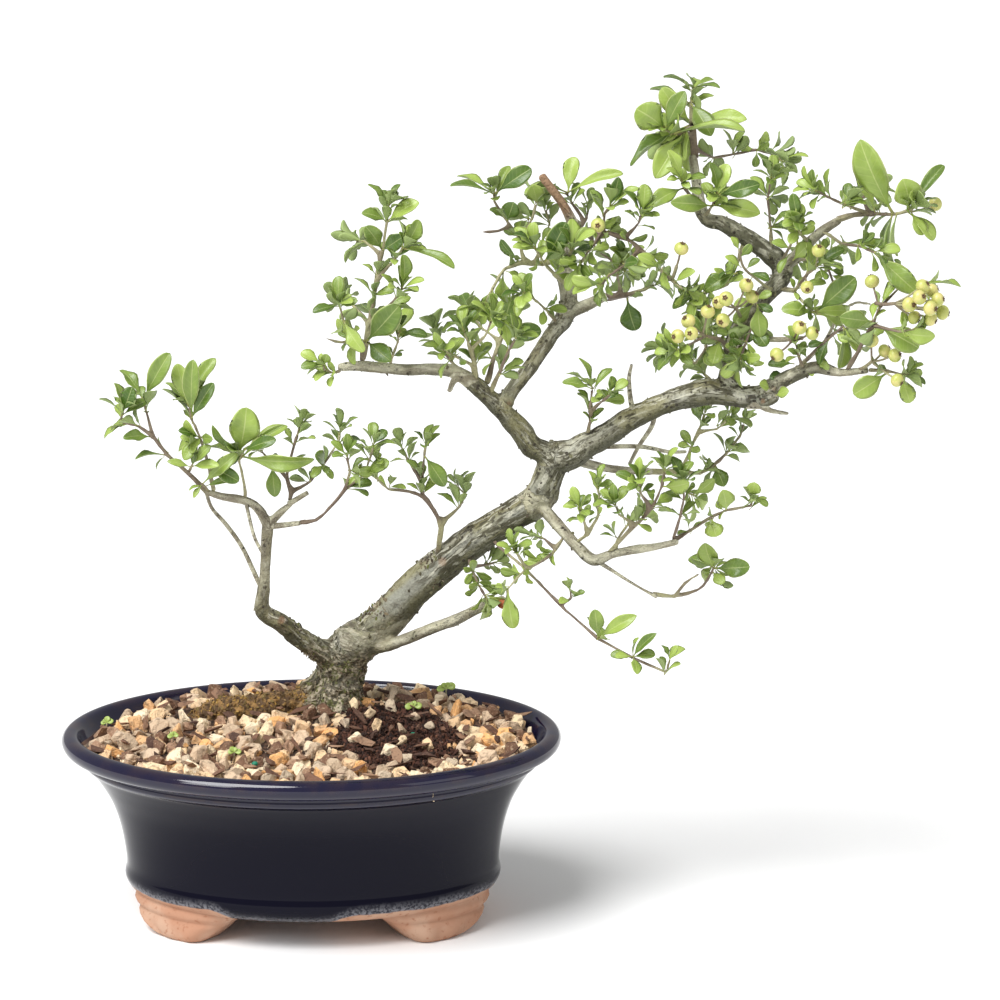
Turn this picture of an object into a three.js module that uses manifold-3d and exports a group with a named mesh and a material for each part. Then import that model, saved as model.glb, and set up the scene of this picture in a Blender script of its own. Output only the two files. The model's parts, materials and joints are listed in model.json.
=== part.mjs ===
import * as THREE from 'three';
import { mergeVertices } from 'three/addons/utils/BufferGeometryUtils.js';
import Module from 'manifold-3d';

// A firethorn bonsai in its oval pot, in millimetres, +Z up.
// Everything is placed from the middle of the pot's footprint, and the whole is shifted at the end.

const wasm = await Module();
wasm.setup();

// Pot: half length and half depth of the rim, and the heights of its features
const RIM_HALF_LENGTH = 119;
const RIM_HALF_DEPTH = 93;
const STRETCH = RIM_HALF_LENGTH - RIM_HALF_DEPTH;
const RIM_HEIGHT = 92;
const FLOOR_TOP = 21;
const UNDERSIDE = 14;
const POT_SIDES = 30;
const DRAIN_RADIUS = 7;
const DRAIN_X = 42;

// Inner and outer face of the wall, from the bottom up, as [radius, height]
const INNER_WALL = [[78, FLOOR_TOP], [83, 32], [88, 52], [98, 72], [110, 88]];
const OUTER_WALL = [
  [84, UNDERSIDE], [88, 17], [90, 22], [89.4, 28], [91.2, 43], [96.5, 60],
  [105.5, 74], [108, 79.5], [115.5, 82.5], [RIM_HALF_LENGTH, 87.5], [117, 91], [114, RIM_HEIGHT],
];

// A foot from its sole up: its middle and half of its span in radians, and its outer and inner radius
const FOOT_LEVELS = [
  { z: 0, turn: 0.74, span: 0.18, outer: 87, inner: 66 },
  { z: 4, turn: 0.69, span: 0.29, outer: 89, inner: 62 },
  { z: 9, turn: 0.62, span: 0.43, outer: 88, inner: 58 },
  { z: UNDERSIDE + 2, turn: 0.58, span: 0.56, outer: 86, inner: 54 },
];
const FOOT_STEPS = 3;

// Small clearances between pieces that touch
const GAP = 0.3;
const LEAF_GAP = 0.35;
const WALL_GAP = 1.1;

// Drain screens over the two holes
const SCREEN_RADIUS = 12;
const SCREEN_THICKNESS = 1.2;
const SCREEN_MESH = 7;
const SCREEN_BAR = 1;

// Soil and the gravel layer on it, with a low mound round the trunk's foot
const SOIL_TOP = 78;
const SOIL_SIDES = 16;
const GRAVEL_SURFACE = 83.5;
const MOUND = { x: 0, y: 52, height: 10.5, spreadX: 95, spreadY: 52 };
const GRAVEL_RINGS = 11;
const LATTICE_JITTER = 3.2;
const GRAIN_RISE = 4;
const HOLLOW_RISE = 0.8;

// Corners round a limb by its thickness at the root
const THICK_LIMB = { radius: 6.9, sides: 8 };
const MIDDLING_LIMB = { radius: 3, sides: 6 };
const THIN_LIMB_SIDES = 4;
const ROOT_CROWN_SIDES = 9;

// Shoots and leaves
const TWIG_TIP_RADIUS = 0.6;
const SIDE_TWIG_RADIUS = 0.9;
const SHOOT_RADIUS = 1.1;
const TWIG_SIDES = 3;
const MIDRIB_HALF_THICKNESS = 0.42;
const LEAF_FOLD = 0.16;
const LEAF_ARCH = 0.07;
const LONG_LEAF = 17;
const BROAD_LEAF = 12;
const LEAF_LEAN = 0.95;
const TIP_LEAN = 0.65;
const LEAST_LEAN = 0.12;
const LEAF_LIFT = 0.2;
const LEAF_TRIES = 7;
const LEAN_SPREAD = 0.6;
const TURN_SPREAD = 1.2;
const SHORTEST_SHARE = 0.78;
const SHARE_SPREAD = 0.5;
const SHORTER_EACH_TRY = 0.04;
const SLENDERNESS = 0.36;
const SLENDERNESS_SPREAD = 0.12;
const LEAF_SKEW = 1.3;
const LEAF_FULLNESS = 0.75;
const STALK_PART = 0.3;
const FACE_REACH = 16;
const MOST_LEAVES_ALONG = 1;
const MOST_LEAVES_AT_TIP = 3;
const BAND_OFFSET = 1.6;
const BAND_HEIGHT = 1;

// Berries
const BERRY_RADIUS = 3.3;
const STALK_RADIUS = 0.55;
const HUB_STEM_RADIUS = 0.8;

// Limbs as points [x, y, z, radius], each starting inside the limb that bears it
const LIMBS = [
  ['trunk', [[9, 45, 85.5, 15.8], [9, 45, 94.3, 14.6], [11.2, 45, 102.3, 11.8], [12.7, 43.5, 111.4, 11.2],
    [17.8, 40, 121.7, 10.8], [30.2, 35, 131.6, 9.8], [46, 28, 151, 8.8], [61, 25, 165, 8.4],
    [76, 22, 177.6, 8], [91, 19, 188.6, 7.8], [106.8, 17, 199, 8], [112.4, 15, 211, 7.3],
    [116, 14, 222, 7.5]]],
  ['left_subtrunk', [[13.8, 41, 116.8, 6.5], [2.2, 36, 121.3, 5.4], [-8.4, 28.5, 130.2, 4.9],
    [-15.3, 22, 138, 4.6], [-23.7, 18, 145.4, 3.8], [-23.2, 15, 155, 3.2], [-22, 12, 165, 2.75],
    [-21, 9, 179, 2.7], [-20, 8, 190, 2.8]]],
  ['left_limb', [[-20, 8, 189, 2.5], [-24, 4, 198, 2.3], [-30, 0, 203, 2.1], [-41, -4, 206, 1.9],
    [-48, -7, 209, 1.4]]],
  ['left_inner_stub', [[-10, 7, 200, 1.4], [-1, 4, 206, 1.1]]],
  ['left_low', [[-19, 8, 189, 1.6], [-14, 5, 190, 1.4], [-5, 1, 192, 1.15]]],
  ['bare_a', [[-48, -7, 209, 0.9], [-46, 2, 199, 0.9], [-39.6, 10, 188.7, 1.1], [-32.6, 14, 176.7, 1.1],
    [-26.6, 16, 162.7, 1.1]]],
  ['bare_b', [[-30, 0, 203, 0.9], [-26, -6, 188, 0.8], [-22, -8, 180, 0.8]]],
  ['left_arm', [[116, 14, 220, 6], [110.2, 13, 223.8, 5.6], [104.4, 12, 227.2, 5.4], [99, 11, 235, 5.3],
    [92.2, 10, 242.9, 4.7], [87.3, 9, 248.3, 4.6], [83.3, 8, 252.1, 4.3], [78.8, 7, 256.4, 4.3],
    [72.6, 5, 261.6, 3.5], [65, 3, 265, 3.1], [44, -3, 266.5, 2.7], [25, -8, 269, 2.5], [16, -11, 269, 2]]],
  ['left_arm_stub', [[76, 6, 260, 2.2], [69, 1, 261, 1.7], [66, -4, 256, 1.3]]],
  ['rising_arm', [[91.8, 9, 248.8, 4.3], [94.9, 11, 252.8, 3.7], [103.3, 14, 263.5, 3.6],
    [109.5, 16, 272.3, 3.6], [114, 18, 279, 4], [120, 20, 287, 4.5], [122, 22, 297, 4.2],
    [120, 24, 309, 3.8], [121, 25, 318, 3.6], [125, 26, 330, 3.4]]],
  ['brown_stub', [[125, 26, 328, 3], [120, 25, 339, 2.3], [109, 23, 354, 1.9]]],
  ['rising_side', [[121, 20, 289, 3.2], [130, 24, 292, 2.8], [140, 29, 296, 2.4]]],
  ['main_limb', [[116, 14, 220, 7.6], [124, 12, 223, 7.2], [131, 11, 228, 6.1], [138, 9, 232, 5.8],
    [153, 6, 242, 5.4], [169, 3, 250, 5.4], [186, 0, 255, 6], [194, -2, 255, 5.8], [203, -4, 253.5, 5.3],
    [210, -5, 253.5, 5.6], [216, -6, 255, 4.8]]],
  ['broken_stub', [[209, -5, 251, 1.7], [216, -3, 247, 1.4], [225, -1, 245, 0.9]]],
  ['limb_end', [[212, -5, 255, 4.1], [218, -7, 260, 3.8], [225, -8, 264, 3.6], [231, -10, 267, 3.5],
    [237, -11, 269, 3.2], [242, -12, 268, 2.8], [248, -14, 267, 1.9], [260, -18, 269, 1.7]]],
  ['pruned_shoot', [[220, -7, 260, 1.8], [225, -3, 263, 1.4], [233, 2, 270, 1.2], [241, 6, 277, 1.1],
    [249, 10, 290, 1], [256, 13, 295, 0.9], [264, 17, 294, 0.8]]],
  ['riser', [[197, -2, 255, 4.8], [196, 0, 261, 4.3], [197, 2, 267, 4.1], [199, 5, 277, 4.1],
    [205, 8, 288, 4.2], [213, 10, 298, 4.5], [219, 11, 304, 4.6], [222, 12, 308, 4.8], [221, 13, 314, 4.8],
    [215, 14, 319, 4.6], [204.8, 16, 326, 4.1], [193.8, 18, 332, 3.7], [184.8, 20, 336, 3.3],
    [180, 24, 362, 2.2]]],
  ['right_arm', [[222, 13, 312, 3.2], [228, 10, 318, 2.8], [234, 7, 325, 2.4], [239.8, 4, 330.8, 2.3],
    [246.7, 2, 335.8, 2]]],
  ['cut_branch', [[199, 5, 277, 1.8], [203, -1, 281, 1.5], [210, -6, 282, 1.4], [218, -11, 282, 1.4],
    [230, -18, 284, 1.2]]],
  ['behind_a', [[123, 14, 221, 2.8], [133, 26, 215, 2.4], [144, 34, 211, 2.1], [162, 42, 208, 1.9]]],
  ['behind_b', [[131, 13, 226, 1.5], [139, 24, 224, 1.2], [157, 34, 222, 1.1], [171, 41, 218, 0.9],
    [179, 46, 217, 0.8]]],
  ['behind_c', [[162, 5, 247, 1.5], [162, 18, 236, 1.2], [156, 30, 223, 1], [152, 37, 213, 0.9]]],
  ['limb_twig', [[153, 6, 243, 1.5], [151, 2, 251, 1.2], [150, -3, 262, 1], [151, -6, 269, 0.7]]],
  ['lower_limb', [[106, 17, 201, 3.4], [110, 12, 197, 3.1], [117.4, 4, 190.2, 2.8], [125.4, -4, 182.6, 2.8],
    [133.7, -9, 176.5, 2.9], [142, -12, 180, 2.2], [153, -15, 183, 2.2], [162, -18, 185, 1.8],
    [172, -21, 188, 1.6]]],
  ['lower_thin', [[135.5, -9, 176, 1.2], [142, -10, 172, 0.9], [150, -11, 167, 0.7], [157, -12, 163, 0.6],
    [163, -13, 160, 1]]],
  ['low_branch', [[22, 36, 126.2, 3.4], [32, 29, 124.5, 3.1], [44.2, 22, 130, 2.8], [58, 17, 137, 2.8],
    [69, 13, 142, 2.8], [77, 10, 147, 2.6], [84, 7, 151, 2.4], [91, 5, 154, 1.9]]],
  ['surface_root', [[5, 43, 91.5, 9], [-6, 38, 91, 7.8], [-19, 34, 90.5, 7.2], [-33, 32.5, 90, 7.2],
    [-45, 32.5, 88.8, 6.6], [-54, 34.5, 87, 5.2], [-61, 37.5, 83.5, 3.2]]],
  ['root_front', [[9, 42, 93, 6.5], [12, 33, 91, 4.6], [14, 25, 88, 2.8]]],
  ['root_right', [[14, 46, 92.5, 6.5], [22.5, 46.5, 91, 4.5], [29, 46.5, 89, 2.8]]],
  ['left_inner', [[-20, 8, 189, 2.2], [-15, 7, 195, 1.9], [-9, 7, 200, 1.2]]],
];

// The root crown, which stands in the soil
const ROOT_CROWN = [[9, 45, 58, 8], [9, 45, 68, 12], [9, 45, 80, 15.6], [9, 45, 90, 15.2]];

// Leafy shoots. A twig is [bare points, leaves at each later point, leaf length, points].
// A leaf that shows is [base, tip, width, turn of its face to the front].
const SPRAYS = [
  { name: 'left_tip', root: 1.6,
    twigs: [
      [2, 2, 12, [[-48, -7, 209], [-54, -10, 217], [-64, -15, 227], [-70, -18, 236], [-76, -20, 242],
        [-84, -21, 244], [-85, -21, 250]]],
      [1, 2, 12, [[-70.9, -18.3, 236.9], [-74, -15, 247], [-76, -13, 254]]],
    ],
    leaves: [
      [[-76, -13, 255], [-63, -20, 277], 8.5, 0.8], [[-76, -13, 255], [-87, -4, 267], 6, 0.1],
      [[-85, -21, 250], [-80, -24, 262], 8, 0.8], [[-70, -18, 233], [-84, -27, 239], 5.5, 0.6],
      [[-69, -17, 231], [-79, -25, 229], 5, 0.4], [[-61, -13, 223], [-75, -22, 219], 5, 0.5],
    ],
  },
  { name: 'left_b', root: 1.2,
    twigs: [
      [1, 2, 12, [[-44, -5, 207], [-46, -10, 221], [-49, -13, 234], [-53, -13, 243], [-55, -12, 251]]],
    ],
    leaves: [
      [[-55, -12, 251], [-60, -14, 271], 8, 0.7], [[-55, -12, 252], [-52, -22, 274], 8, 0.9],
      [[-54, -12, 252], [-43, -8, 273], 7, 0.6], [[-55, -12, 251], [-66, -4, 261], 6, 0.5],
      [[-53, -12, 248], [-43, -20, 263], 7, 0.7], [[-49, -13, 233], [-59, -20, 241], 6, 0.6],
      [[-48, -12, 230], [-57, -20, 227], 7, 0.7], [[-47, -10, 221], [-32, -16, 216], 7, 0.8],
    ],
  },
  { name: 'left_c',
    twigs: [
      [2, 2, 12, [[-30, 0, 203], [-30, -3, 211], [-32, -6, 222], [-33, -7, 227]]],
    ],
    leaves: [
      [[-32, -7, 228], [-28, -14, 250], 14, 1], [[-31, -7, 226], [3, -18, 226], 8, 0.9],
      [[-32, -7, 224], [-50, -16, 215], 9, 0.9], [[-32, -7, 228], [-10, -2, 240], 7, 0.5],
      [[-32, -6, 221], [-16, 4, 231], 6, 0.4],
    ],
  },
  { name: 'left_inner',
    twigs: [
      [2, 3, 10, [[-10, 7, 199], [-9, 8, 205], [-11, 9, 212], [-8, 11, 225], [-6, 12, 232], [-4, 13, 237]]],
      [1, 3, 10, [[-9, 8, 205], [-2, 12, 208], [5, 17, 215], [12, 22, 225], [14, 24, 232]]],
      [0, 2, 11, [[-11, 9, 212], [-16, 3, 219], [-22, -2, 227]]],
    ],
    leaves: [
      [[-17, 3, 219], [-16, -1, 205], 7, 0.9],
    ],
  },
  { name: 'left_low',
    twigs: [
      [3, 3, 10, [[-5, 1, 192], [4, -3, 194], [9, -6, 200], [17, -10, 210], [25, -14, 217],
        [29, -16, 226], [31, -17, 234]]],
      [1, 3, 10, [[17, -10, 210], [20, -20, 220], [19, -26, 230]]],
    ],
    leaves: [
      [[25, -14, 217], [38, -18, 226], 7, 0.6], [[31, -17, 234], [37, -14, 240], 5, 0.5],
    ],
  },
  { name: 'middle', root: 1.7,
    twigs: [
      [3, 3, 9, [[60, 22, 169], [62, 14, 189], [59, 10, 196], [54, 8, 203], [53, 6, 211], [54, 4, 222],
        [55, 3, 230]]],
      [2, 2, 9, [[54, 8, 203], [46, 1, 208], [39, -4, 209], [33, -9, 214], [32, -12, 225]]],
      [1, 3, 9, [[62, 14, 189], [69, 19, 194], [73, 22, 199], [69, 26, 205]]],
      [0, 2, 9, [[53, 6, 211], [47, 12, 219], [43, 16, 226]]],
    ],
    leaves: [
      [[54, 4, 221], [64, 0, 210], 8, 0.8],
    ],
  },
  { name: 'arm_tip',
    twigs: [
      [1, 1, 9, [[17, -10, 268], [14, -13, 267], [10, -16, 268], [8, -18, 272]]],
    ],
    leaves: [
      [[8, -17, 271], [-2, -22, 271], 5, 0.5], [[8, -18, 271], [10, -22, 277], 5, 0.7],
    ],
  },
  { name: 'topleft', root: 2,
    twigs: [
      [1, 3, 13, [[25, -8, 268], [27, -6, 278], [29, -4, 289], [31, -2, 299], [32, -1, 308],
        [35, 1, 320], [37, 3, 333], [38, 4, 342]]],
      [1, 3, 12, [[26.8, -6.2, 277.1], [22, -12, 282], [18, -18, 291], [16, -22, 300]]],
      [1, 3, 12, [[29, -4, 289], [22, 8, 294], [17, 16, 296]]],
      [1, 3, 13, [[28.8, -4.2, 288.1], [35, -14, 295], [41, -20, 302], [45, -24, 308]]],
      [1, 3, 12, [[32, -1, 308], [40, -8, 318], [45, -12, 325]]],
      [1, 3, 12, [[35, 1, 320], [28, 10, 324], [23, 16, 324]]],
      [9, 0, 9, [[22.3, -11.6, 281.7], [16, -15, 281], [9, -18, 284]]],
    ],
    leaves: [
      [[38, 4, 342], [29, 2, 353], 4, 0.4], [[38, 4, 342], [43, 10, 352], 4, 0.3],
      [[38, 4, 338], [52, -2, 345], 9, 0.8], [[38, 4, 338], [26, -2, 340], 7, 0.6],
      [[46, -12, 325], [69, -22, 318], 6, 0.5], [[36, 1, 316], [45, -10, 330], 8, 0.9],
      [[28, -6, 278], [39, -16, 273], 9, 0.9], [[32, -6, 286], [43, -20, 299], 12, 1],
      [[16, -22, 300], [4, -28, 298], 5, 0.4], [[21, -18, 291], [27, -26, 279], 7, 0.8],
      [[38, 3, 330], [28, -6, 334], 8, 0.8], [[45, -24, 308], [55, -28, 313], 5, 0.3],
    ],
  },
  { name: 'arm_sprig',
    twigs: [
      [1, 2, 8, [[38, -2, 266], [39, -5, 271], [42, -9, 279], [43, -12, 286]]],
    ],
    leaves: [
      [[43, -12, 285], [56, -16, 285], 5, 0.4],
    ],
  },
  { name: 'elbow_front', root: 2,
    twigs: [
      [1, 3, 12, [[79, 7, 258], [78, 0, 268], [76, -6, 277], [73, -10, 286]]],
      [0, 3, 11, [[78.1, 0.5, 267.3], [70, -8, 273], [64, -13, 277]]],
      [0, 3, 12, [[76.1, -5.6, 276.3], [82, -14, 283], [86, -20, 293]]],
    ],
  },
  { name: 'elbow_low',
    twigs: [
      [1, 3, 11, [[75, 5, 261], [68, 14, 266], [62, 22, 272], [59, 28, 279]]],
    ],
  },
  { name: 'elbow_back', root: 2,
    twigs: [
      [1, 3, 14, [[83, 8, 255], [86, 16, 266], [90, 24, 276], [94, 30, 285], [95, 34, 294]]],
      [0, 3, 13, [[89.8, 23.6, 275.4], [82, 32, 279], [76, 38, 286]]],
    ],
    leaves: [
      [[97, 24, 279], [95, 14, 297], 11, 1], [[95, 22, 277], [109, 18, 281], 9, 0.8],
    ],
  },
  { name: 'elbow_mid', root: 1.6,
    twigs: [
      [1, 3, 12, [[85, 8, 253], [89, -4, 264], [93, -12, 275], [97, -18, 284]]],
    ],
  },
  { name: 'rise_left', root: 2.2,
    twigs: [
      [1, 3, 13, [[121, 25, 315], [111, 20, 313], [101, 14, 314], [93, 8, 313], [87, 2, 305],
        [83, -4, 298]]],
      [1, 3, 12, [[101, 14, 314], [99, 12, 325], [94, 10, 333], [88, 8, 342], [87, 6, 348]]],
      [1, 3, 12, [[99, 12, 325], [104, 20, 332], [107, 26, 341]]],
      [9, 0, 9, [[94.6, 10.2, 332.1], [88, 4, 330], [81, -2, 331]]],
      [1, 3, 12, [[106.7, 17.4, 313.4], [109, 30, 320], [113, 38, 327], [111, 42, 336]]],
    ],
    leaves: [
      [[87, 6, 348], [104, 2, 360], 9, 0.8], [[87, 6, 348], [70, 12, 356], 6, 0.4],
      [[87, 6, 348], [67, 0, 353], 5, 0.3], [[87, 6, 349], [94, 14, 360], 5, 0.4],
      [[106, 26, 339], [105, 18, 350], 9, 0.9], [[93, 10, 332], [96, 2, 344], 9, 0.9],
    ],
  },
  { name: 'rise_mid', root: 1.4,
    twigs: [
      [1, 3, 13, [[121, 23, 302], [116, 10, 308], [111, 2, 315], [106, -6, 324]]],
      [0, 3, 12, [[116, 10, 308], [120, 0, 317], [123, -8, 324]]],
    ],
    leaves: [
      [[114, 0, 318], [120, -8, 336], 10, 0.9],
    ],
  },
  { name: 'rise_low',
    twigs: [
      [1, 3, 13, [[118, 19, 283], [112, 8, 292], [107, 0, 298], [101, -6, 303]]],
    ],
  },
  { name: 'rise_top',
    twigs: [
      [1, 3, 12, [[124, 26, 324], [130, 38, 330], [132, 42, 337]]],
      [0, 1, 12, [[130, 38, 330], [125, 40, 337], [121, 36, 344]]],
    ],
    leaves: [
      [[122, 36, 344], [147, 26, 355], 6, 0.6],
    ],
  },
  { name: 'front', root: 1.8,
    twigs: [
      [1, 2, 13, [[124, 26, 326], [131, 18, 329], [138, 11, 329], [148, 4, 327], [156, -2, 322],
        [162, -8, 316], [169, -12, 310], [175, -16, 306]]],
      [0, 3, 13, [[138, 11, 329], [138, 5, 337], [141, 1, 343]]],
      [0, 3, 12, [[148, 4, 327], [153, -3, 334], [155, -7, 340]]],
      [1, 3, 13, [[155.1, -1.3, 322.6], [148, -12, 318], [141, -18, 314], [136, -22, 309]]],
      [1, 3, 12, [[131, 18, 329], [134, 28, 320], [141, 36, 313], [149, 42, 306]]],
      [1, 3, 12, [[138, 11, 329], [132, 2, 323], [127, -6, 317]]],
    ],
    leaves: [
      [[172, -14, 308], [179, -22, 316], 6, 0.5],
    ],
  },
  { name: 'side', root: 2.6,
    twigs: [
      [1, 3, 12, [[138, 28, 295], [148, 33, 295], [157, 38, 297], [164, 42, 299]]],
      [0, 3, 12, [[148, 33, 295], [145, 24, 305], [147, 18, 314]]],
    ],
    leaves: [
      [[154, 36, 294], [154, 30, 279], 10, 1],
    ],
  },
  { name: 'right_top', root: 2.4,
    twigs: [
      [1, 3, 13, [[181, 24, 362], [180, 25, 375], [179, 26, 385], [180, 27, 395]]],
      [1, 2, 13, [[180.2, 24.8, 373], [172, 18, 374], [166, 12, 377]]],
      [1, 3, 12, [[180.7, 24.3, 366], [189, 34, 361], [198, 42, 361], [209, 46, 363], [218, 50, 361],
        [224, 52, 357]]],
    ],
    leaves: [
      [[180, 27, 394], [166, 20, 401], 5, 0.3], [[180, 27, 393], [160, 34, 394], 4, 0.3],
      [[180, 27, 395], [190, 34, 398], 4, 0.3], [[179, 27, 393], [192, 18, 396], 4, 0.3],
      [[166, 12, 377], [153, 6, 387], 14, 1], [[168, 14, 377], [175, 8, 395], 9, 0.7],
      [[180, 26, 387], [188, 14, 374], 10, 0.9], [[180, 25, 370], [204, 14, 382], 9, 0.7],
      [[180, 25, 369], [203, 6, 378], 7, 0.4], [[180, 25, 367], [150, 12, 361], 6, 0.4],
      [[180, 24, 365], [162, 8, 355], 8, 0.6], [[224, 52, 357], [236, 48, 360], 4, 0.3],
    ],
  },
  { name: 'right_low_left',
    twigs: [
      [1, 2, 13, [[181, 22, 341], [176, 10, 349], [174, 4, 354]]],
    ],
    leaves: [
      [[175, 6, 351], [159, -2, 343], 8, 0.6],
    ],
  },
  { name: 'right_low_right',
    twigs: [
      [1, 2, 13, [[185, 20, 334], [188, 8, 341], [190, 0, 348]]],
    ],
    leaves: [
      [[190, 0, 349], [209, -8, 354], 8, 0.8], [[189, 7, 342], [210, -2, 340], 9, 0.8],
      [[188, 8, 341], [169, -4, 345], 8, 0.9],
    ],
  },
  { name: 'riser_shoot',
    twigs: [
      [1, 3, 13, [[217, 14, 318], [216, 8, 330], [214, 3, 344], [215, -2, 356]]],
    ],
  },
  { name: 'right_arm', root: 2,
    twigs: [
      [2, 2, 13, [[246, 2, 336], [253, -2, 339], [261, -6, 340], [269, -9, 340], [276, -12, 342],
        [280, -14, 344]]],
      [1, 3, 11, [[260.2, -5.6, 339.9], [249, -14, 345], [241, -19, 349], [234, -22, 353]]],
      [0, 3, 11, [[261, -6, 340], [258, 8, 344], [261, 16, 346], [264, 22, 347]]],
    ],
    leaves: [
      [[269, -9, 341], [254, -16, 375], 15, 1], [[268, -9, 341], [255, -2, 361], 8, 0.5],
      [[275, -12, 342], [274, -22, 358], 13, 1], [[277, -12, 343], [294, -6, 363], 6, 0.3],
      [[280, -14, 343], [297, -20, 354], 12, 1], [[277, -12, 341], [284, -18, 332], 8, 0.8],
    ],
    berries: [[[279, -13, 342], [291, -2, 344]]],
  },
  { name: 'right_arm_near',
    twigs: [
      [1, 3, 12, [[234, 7, 324], [229, -3, 330], [227, -9, 336]]],
    ],
    leaves: [
      [[228, -4, 328], [223, -12, 342], 10, 1],
    ],
  },
  { name: 'far_a',
    twigs: [
      [1, 2, 13, [[239, 4, 331], [246, -8, 327], [254, -18, 327], [261, -26, 325]]],
    ],
    leaves: [
      [[247, -9, 328], [270, -18, 325], 8, 0.5], [[262, -26, 325], [280, -34, 308], 10, 0.9],
    ],
  },
  { name: 'far_b', root: 1.5,
    twigs: [
      [1, 2, 13, [[250, -15, 267], [255, -22, 279], [260, -30, 292], [263, -34, 301]]],
      [0, 1, 12, [[263, -34, 301], [273, -24, 309], [285, -22, 310]]],
      [1, 1, 11, [[260, -30, 292], [270, -40, 291], [278, -46, 293]]],
    ],
    leaves: [
      [[263, -32, 296], [270, -38, 323], 14, 1], [[261, -30, 293], [245, -38, 297], 9, 0.9],
      [[261, -30, 292], [281, -38, 283], 10, 1], [[285, -22, 309], [301, -26, 310], 5, 0.3],
      [[278, -46, 292], [287, -48, 290], 8, 0.9],
    ],
    berries: [[[263, -34, 301], [260, -28, 312]]],
  },
  { name: 'limb_tip',
    twigs: [
      [1, 2, 10, [[258, -18, 269], [267, -20, 269], [273, -22, 268], [278, -24, 268]]],
    ],
    leaves: [
      [[264, -20, 268], [253, -26, 259], 10, 0.9], [[275, -23, 267], [279, -26, 255], 8, 0.9],
      [[278, -24, 268], [286, -26, 264], 4, 0.3], [[278, -24, 268], [284, -30, 274], 4, 0.4],
    ],
  },
  { name: 'fork',
    twigs: [
      [1, 3, 12, [[194, 3, 256], [188, 8, 260], [182, 13, 266], [176, 18, 269], [169, 22, 271]]],
      [1, 3, 13, [[182, 13, 266], [186, 5, 274], [185, 0, 284]]],
    ],
    leaves: [
      [[186, 5, 274], [190, -6, 269], 8, 0.9],
    ],
  },
  { name: 'riser_left', root: 1.5,
    twigs: [
      [1, 3, 13, [[198, 4, 273], [193, -10, 281], [186, -18, 285], [179, -24, 283], [171, -28, 280]]],
    ],
    leaves: [
      [[193, -12, 280], [188, -22, 273], 9, 0.9],
    ],
  },
  { name: 'riser_left_back', root: 1.5,
    twigs: [
      [1, 3, 13, [[197, 2, 263], [205, 22, 265], [203, 32, 273], [196, 38, 280], [188, 42, 286]]],
    ],
  },
  { name: 'riser_dark',
    twigs: [
      [2, 3, 12, [[204, 16, 324], [201, 8, 315], [197, 2, 307], [188, -4, 304], [180, -8, 302]]],
    ],
  },
  { name: 'riser_mid',
    twigs: [
      [1, 3, 12, [[209, 9, 292], [207, -6, 288], [204, -14, 282], [201, -18, 275]]],
    ],
    leaves: [
      [[207, -6, 288], [213, -16, 280], 8, 0.8],
    ],
  },
  { name: 'riser_right', root: 1.6,
    twigs: [
      [1, 2, 13, [[220, 11, 302], [226, 0, 303], [231, -10, 312], [236, -14, 317]]],
      [0, 2, 12, [[226, 0, 303], [231, -6, 298], [236, -10, 294]]],
    ],
    leaves: [
      [[236, -10, 295], [253, -18, 312], 11, 1], [[234, -9, 295], [220, -14, 297], 7, 0.7],
      [[236, -10, 294], [246, -18, 288], 8, 0.7],
    ],
    berries: [[[231, -10, 311], [231, -20, 308]], [[235, -13, 315], [236, -20, 325]]],
  },
  { name: 'riser_right_back', root: 1.5,
    twigs: [
      [1, 3, 12, [[222, 12, 310], [230, 24, 313], [238, 32, 314], [246, 38, 313]]],
    ],
  },
  { name: 'pruned_tip',
    twigs: [
      [1, 3, 11, [[242, 7, 278], [246, 15, 280], [253, 22, 281]]],
    ],
  },
  { name: 'limb_end_up',
    twigs: [
      [1, 3, 11, [[231, -10, 267], [228, -18, 275], [226, -23, 282]]],
    ],
  },
  { name: 'behind', root: 1.8,
    twigs: [
      [2, 3, 9, [[162, 42, 208], [177, 48, 206], [185, 51, 205], [192, 53, 208], [198, 54, 213],
        [205, 56, 221], [208, 58, 229]]],
      [1, 3, 9, [[177, 48, 206], [181, 46, 217], [185, 42, 228], [188, 38, 238]]],
      [0, 3, 9, [[185, 42, 228], [192, 34, 230], [199, 28, 237]]],
      [0, 2, 9, [[177, 48, 206], [178, 42, 200], [183, 38, 197]]],
    ],
    leaves: [
      [[192, 53, 208], [198, 46, 200], 8, 0.9],
    ],
  },
  { name: 'lower_twig',
    twigs: [
      [2, 3, 10, [[126, -4, 184], [131, -9, 189], [135, -14, 197], [136, -17, 207], [135, -19, 214]]],
      [1, 3, 10, [[131, -9, 189], [129, -20, 198], [127, -26, 205]]],
    ],
  },
  { name: 'lower_rise_a', root: 1.4,
    twigs: [
      [2, 3, 10, [[139, -10, 178], [144, -16, 186], [153, -21, 196], [160, -25, 205], [164, -27, 214],
        [166, -28, 224]]],
      [0, 3, 10, [[160, -25, 205], [155, -34, 213], [154, -40, 221]]],
      [0, 3, 10, [[153, -21, 196], [146, -30, 202], [143, -36, 209]]],
    ],
    leaves: [
      [[164, -27, 214], [177, -34, 219], 8, 0.9],
    ],
  },
  { name: 'lower_mid',
    twigs: [
      [1, 3, 10, [[143, -12, 179], [145, -2, 184], [149, 8, 188], [156, 14, 193]]],
    ],
  },
  { name: 'lower_far', root: 1.3,
    twigs: [
      [1, 2, 10, [[168, -20, 186], [177, -15, 191], [187, -9, 196], [194, -6, 199], [206, -1, 200],
        [209, 0, 205]]],
      [1, 3, 10, [[170.3, -18.7, 187.3], [173, -24, 199], [175, -27, 209], [174, -29, 219]]],
    ],
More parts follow.
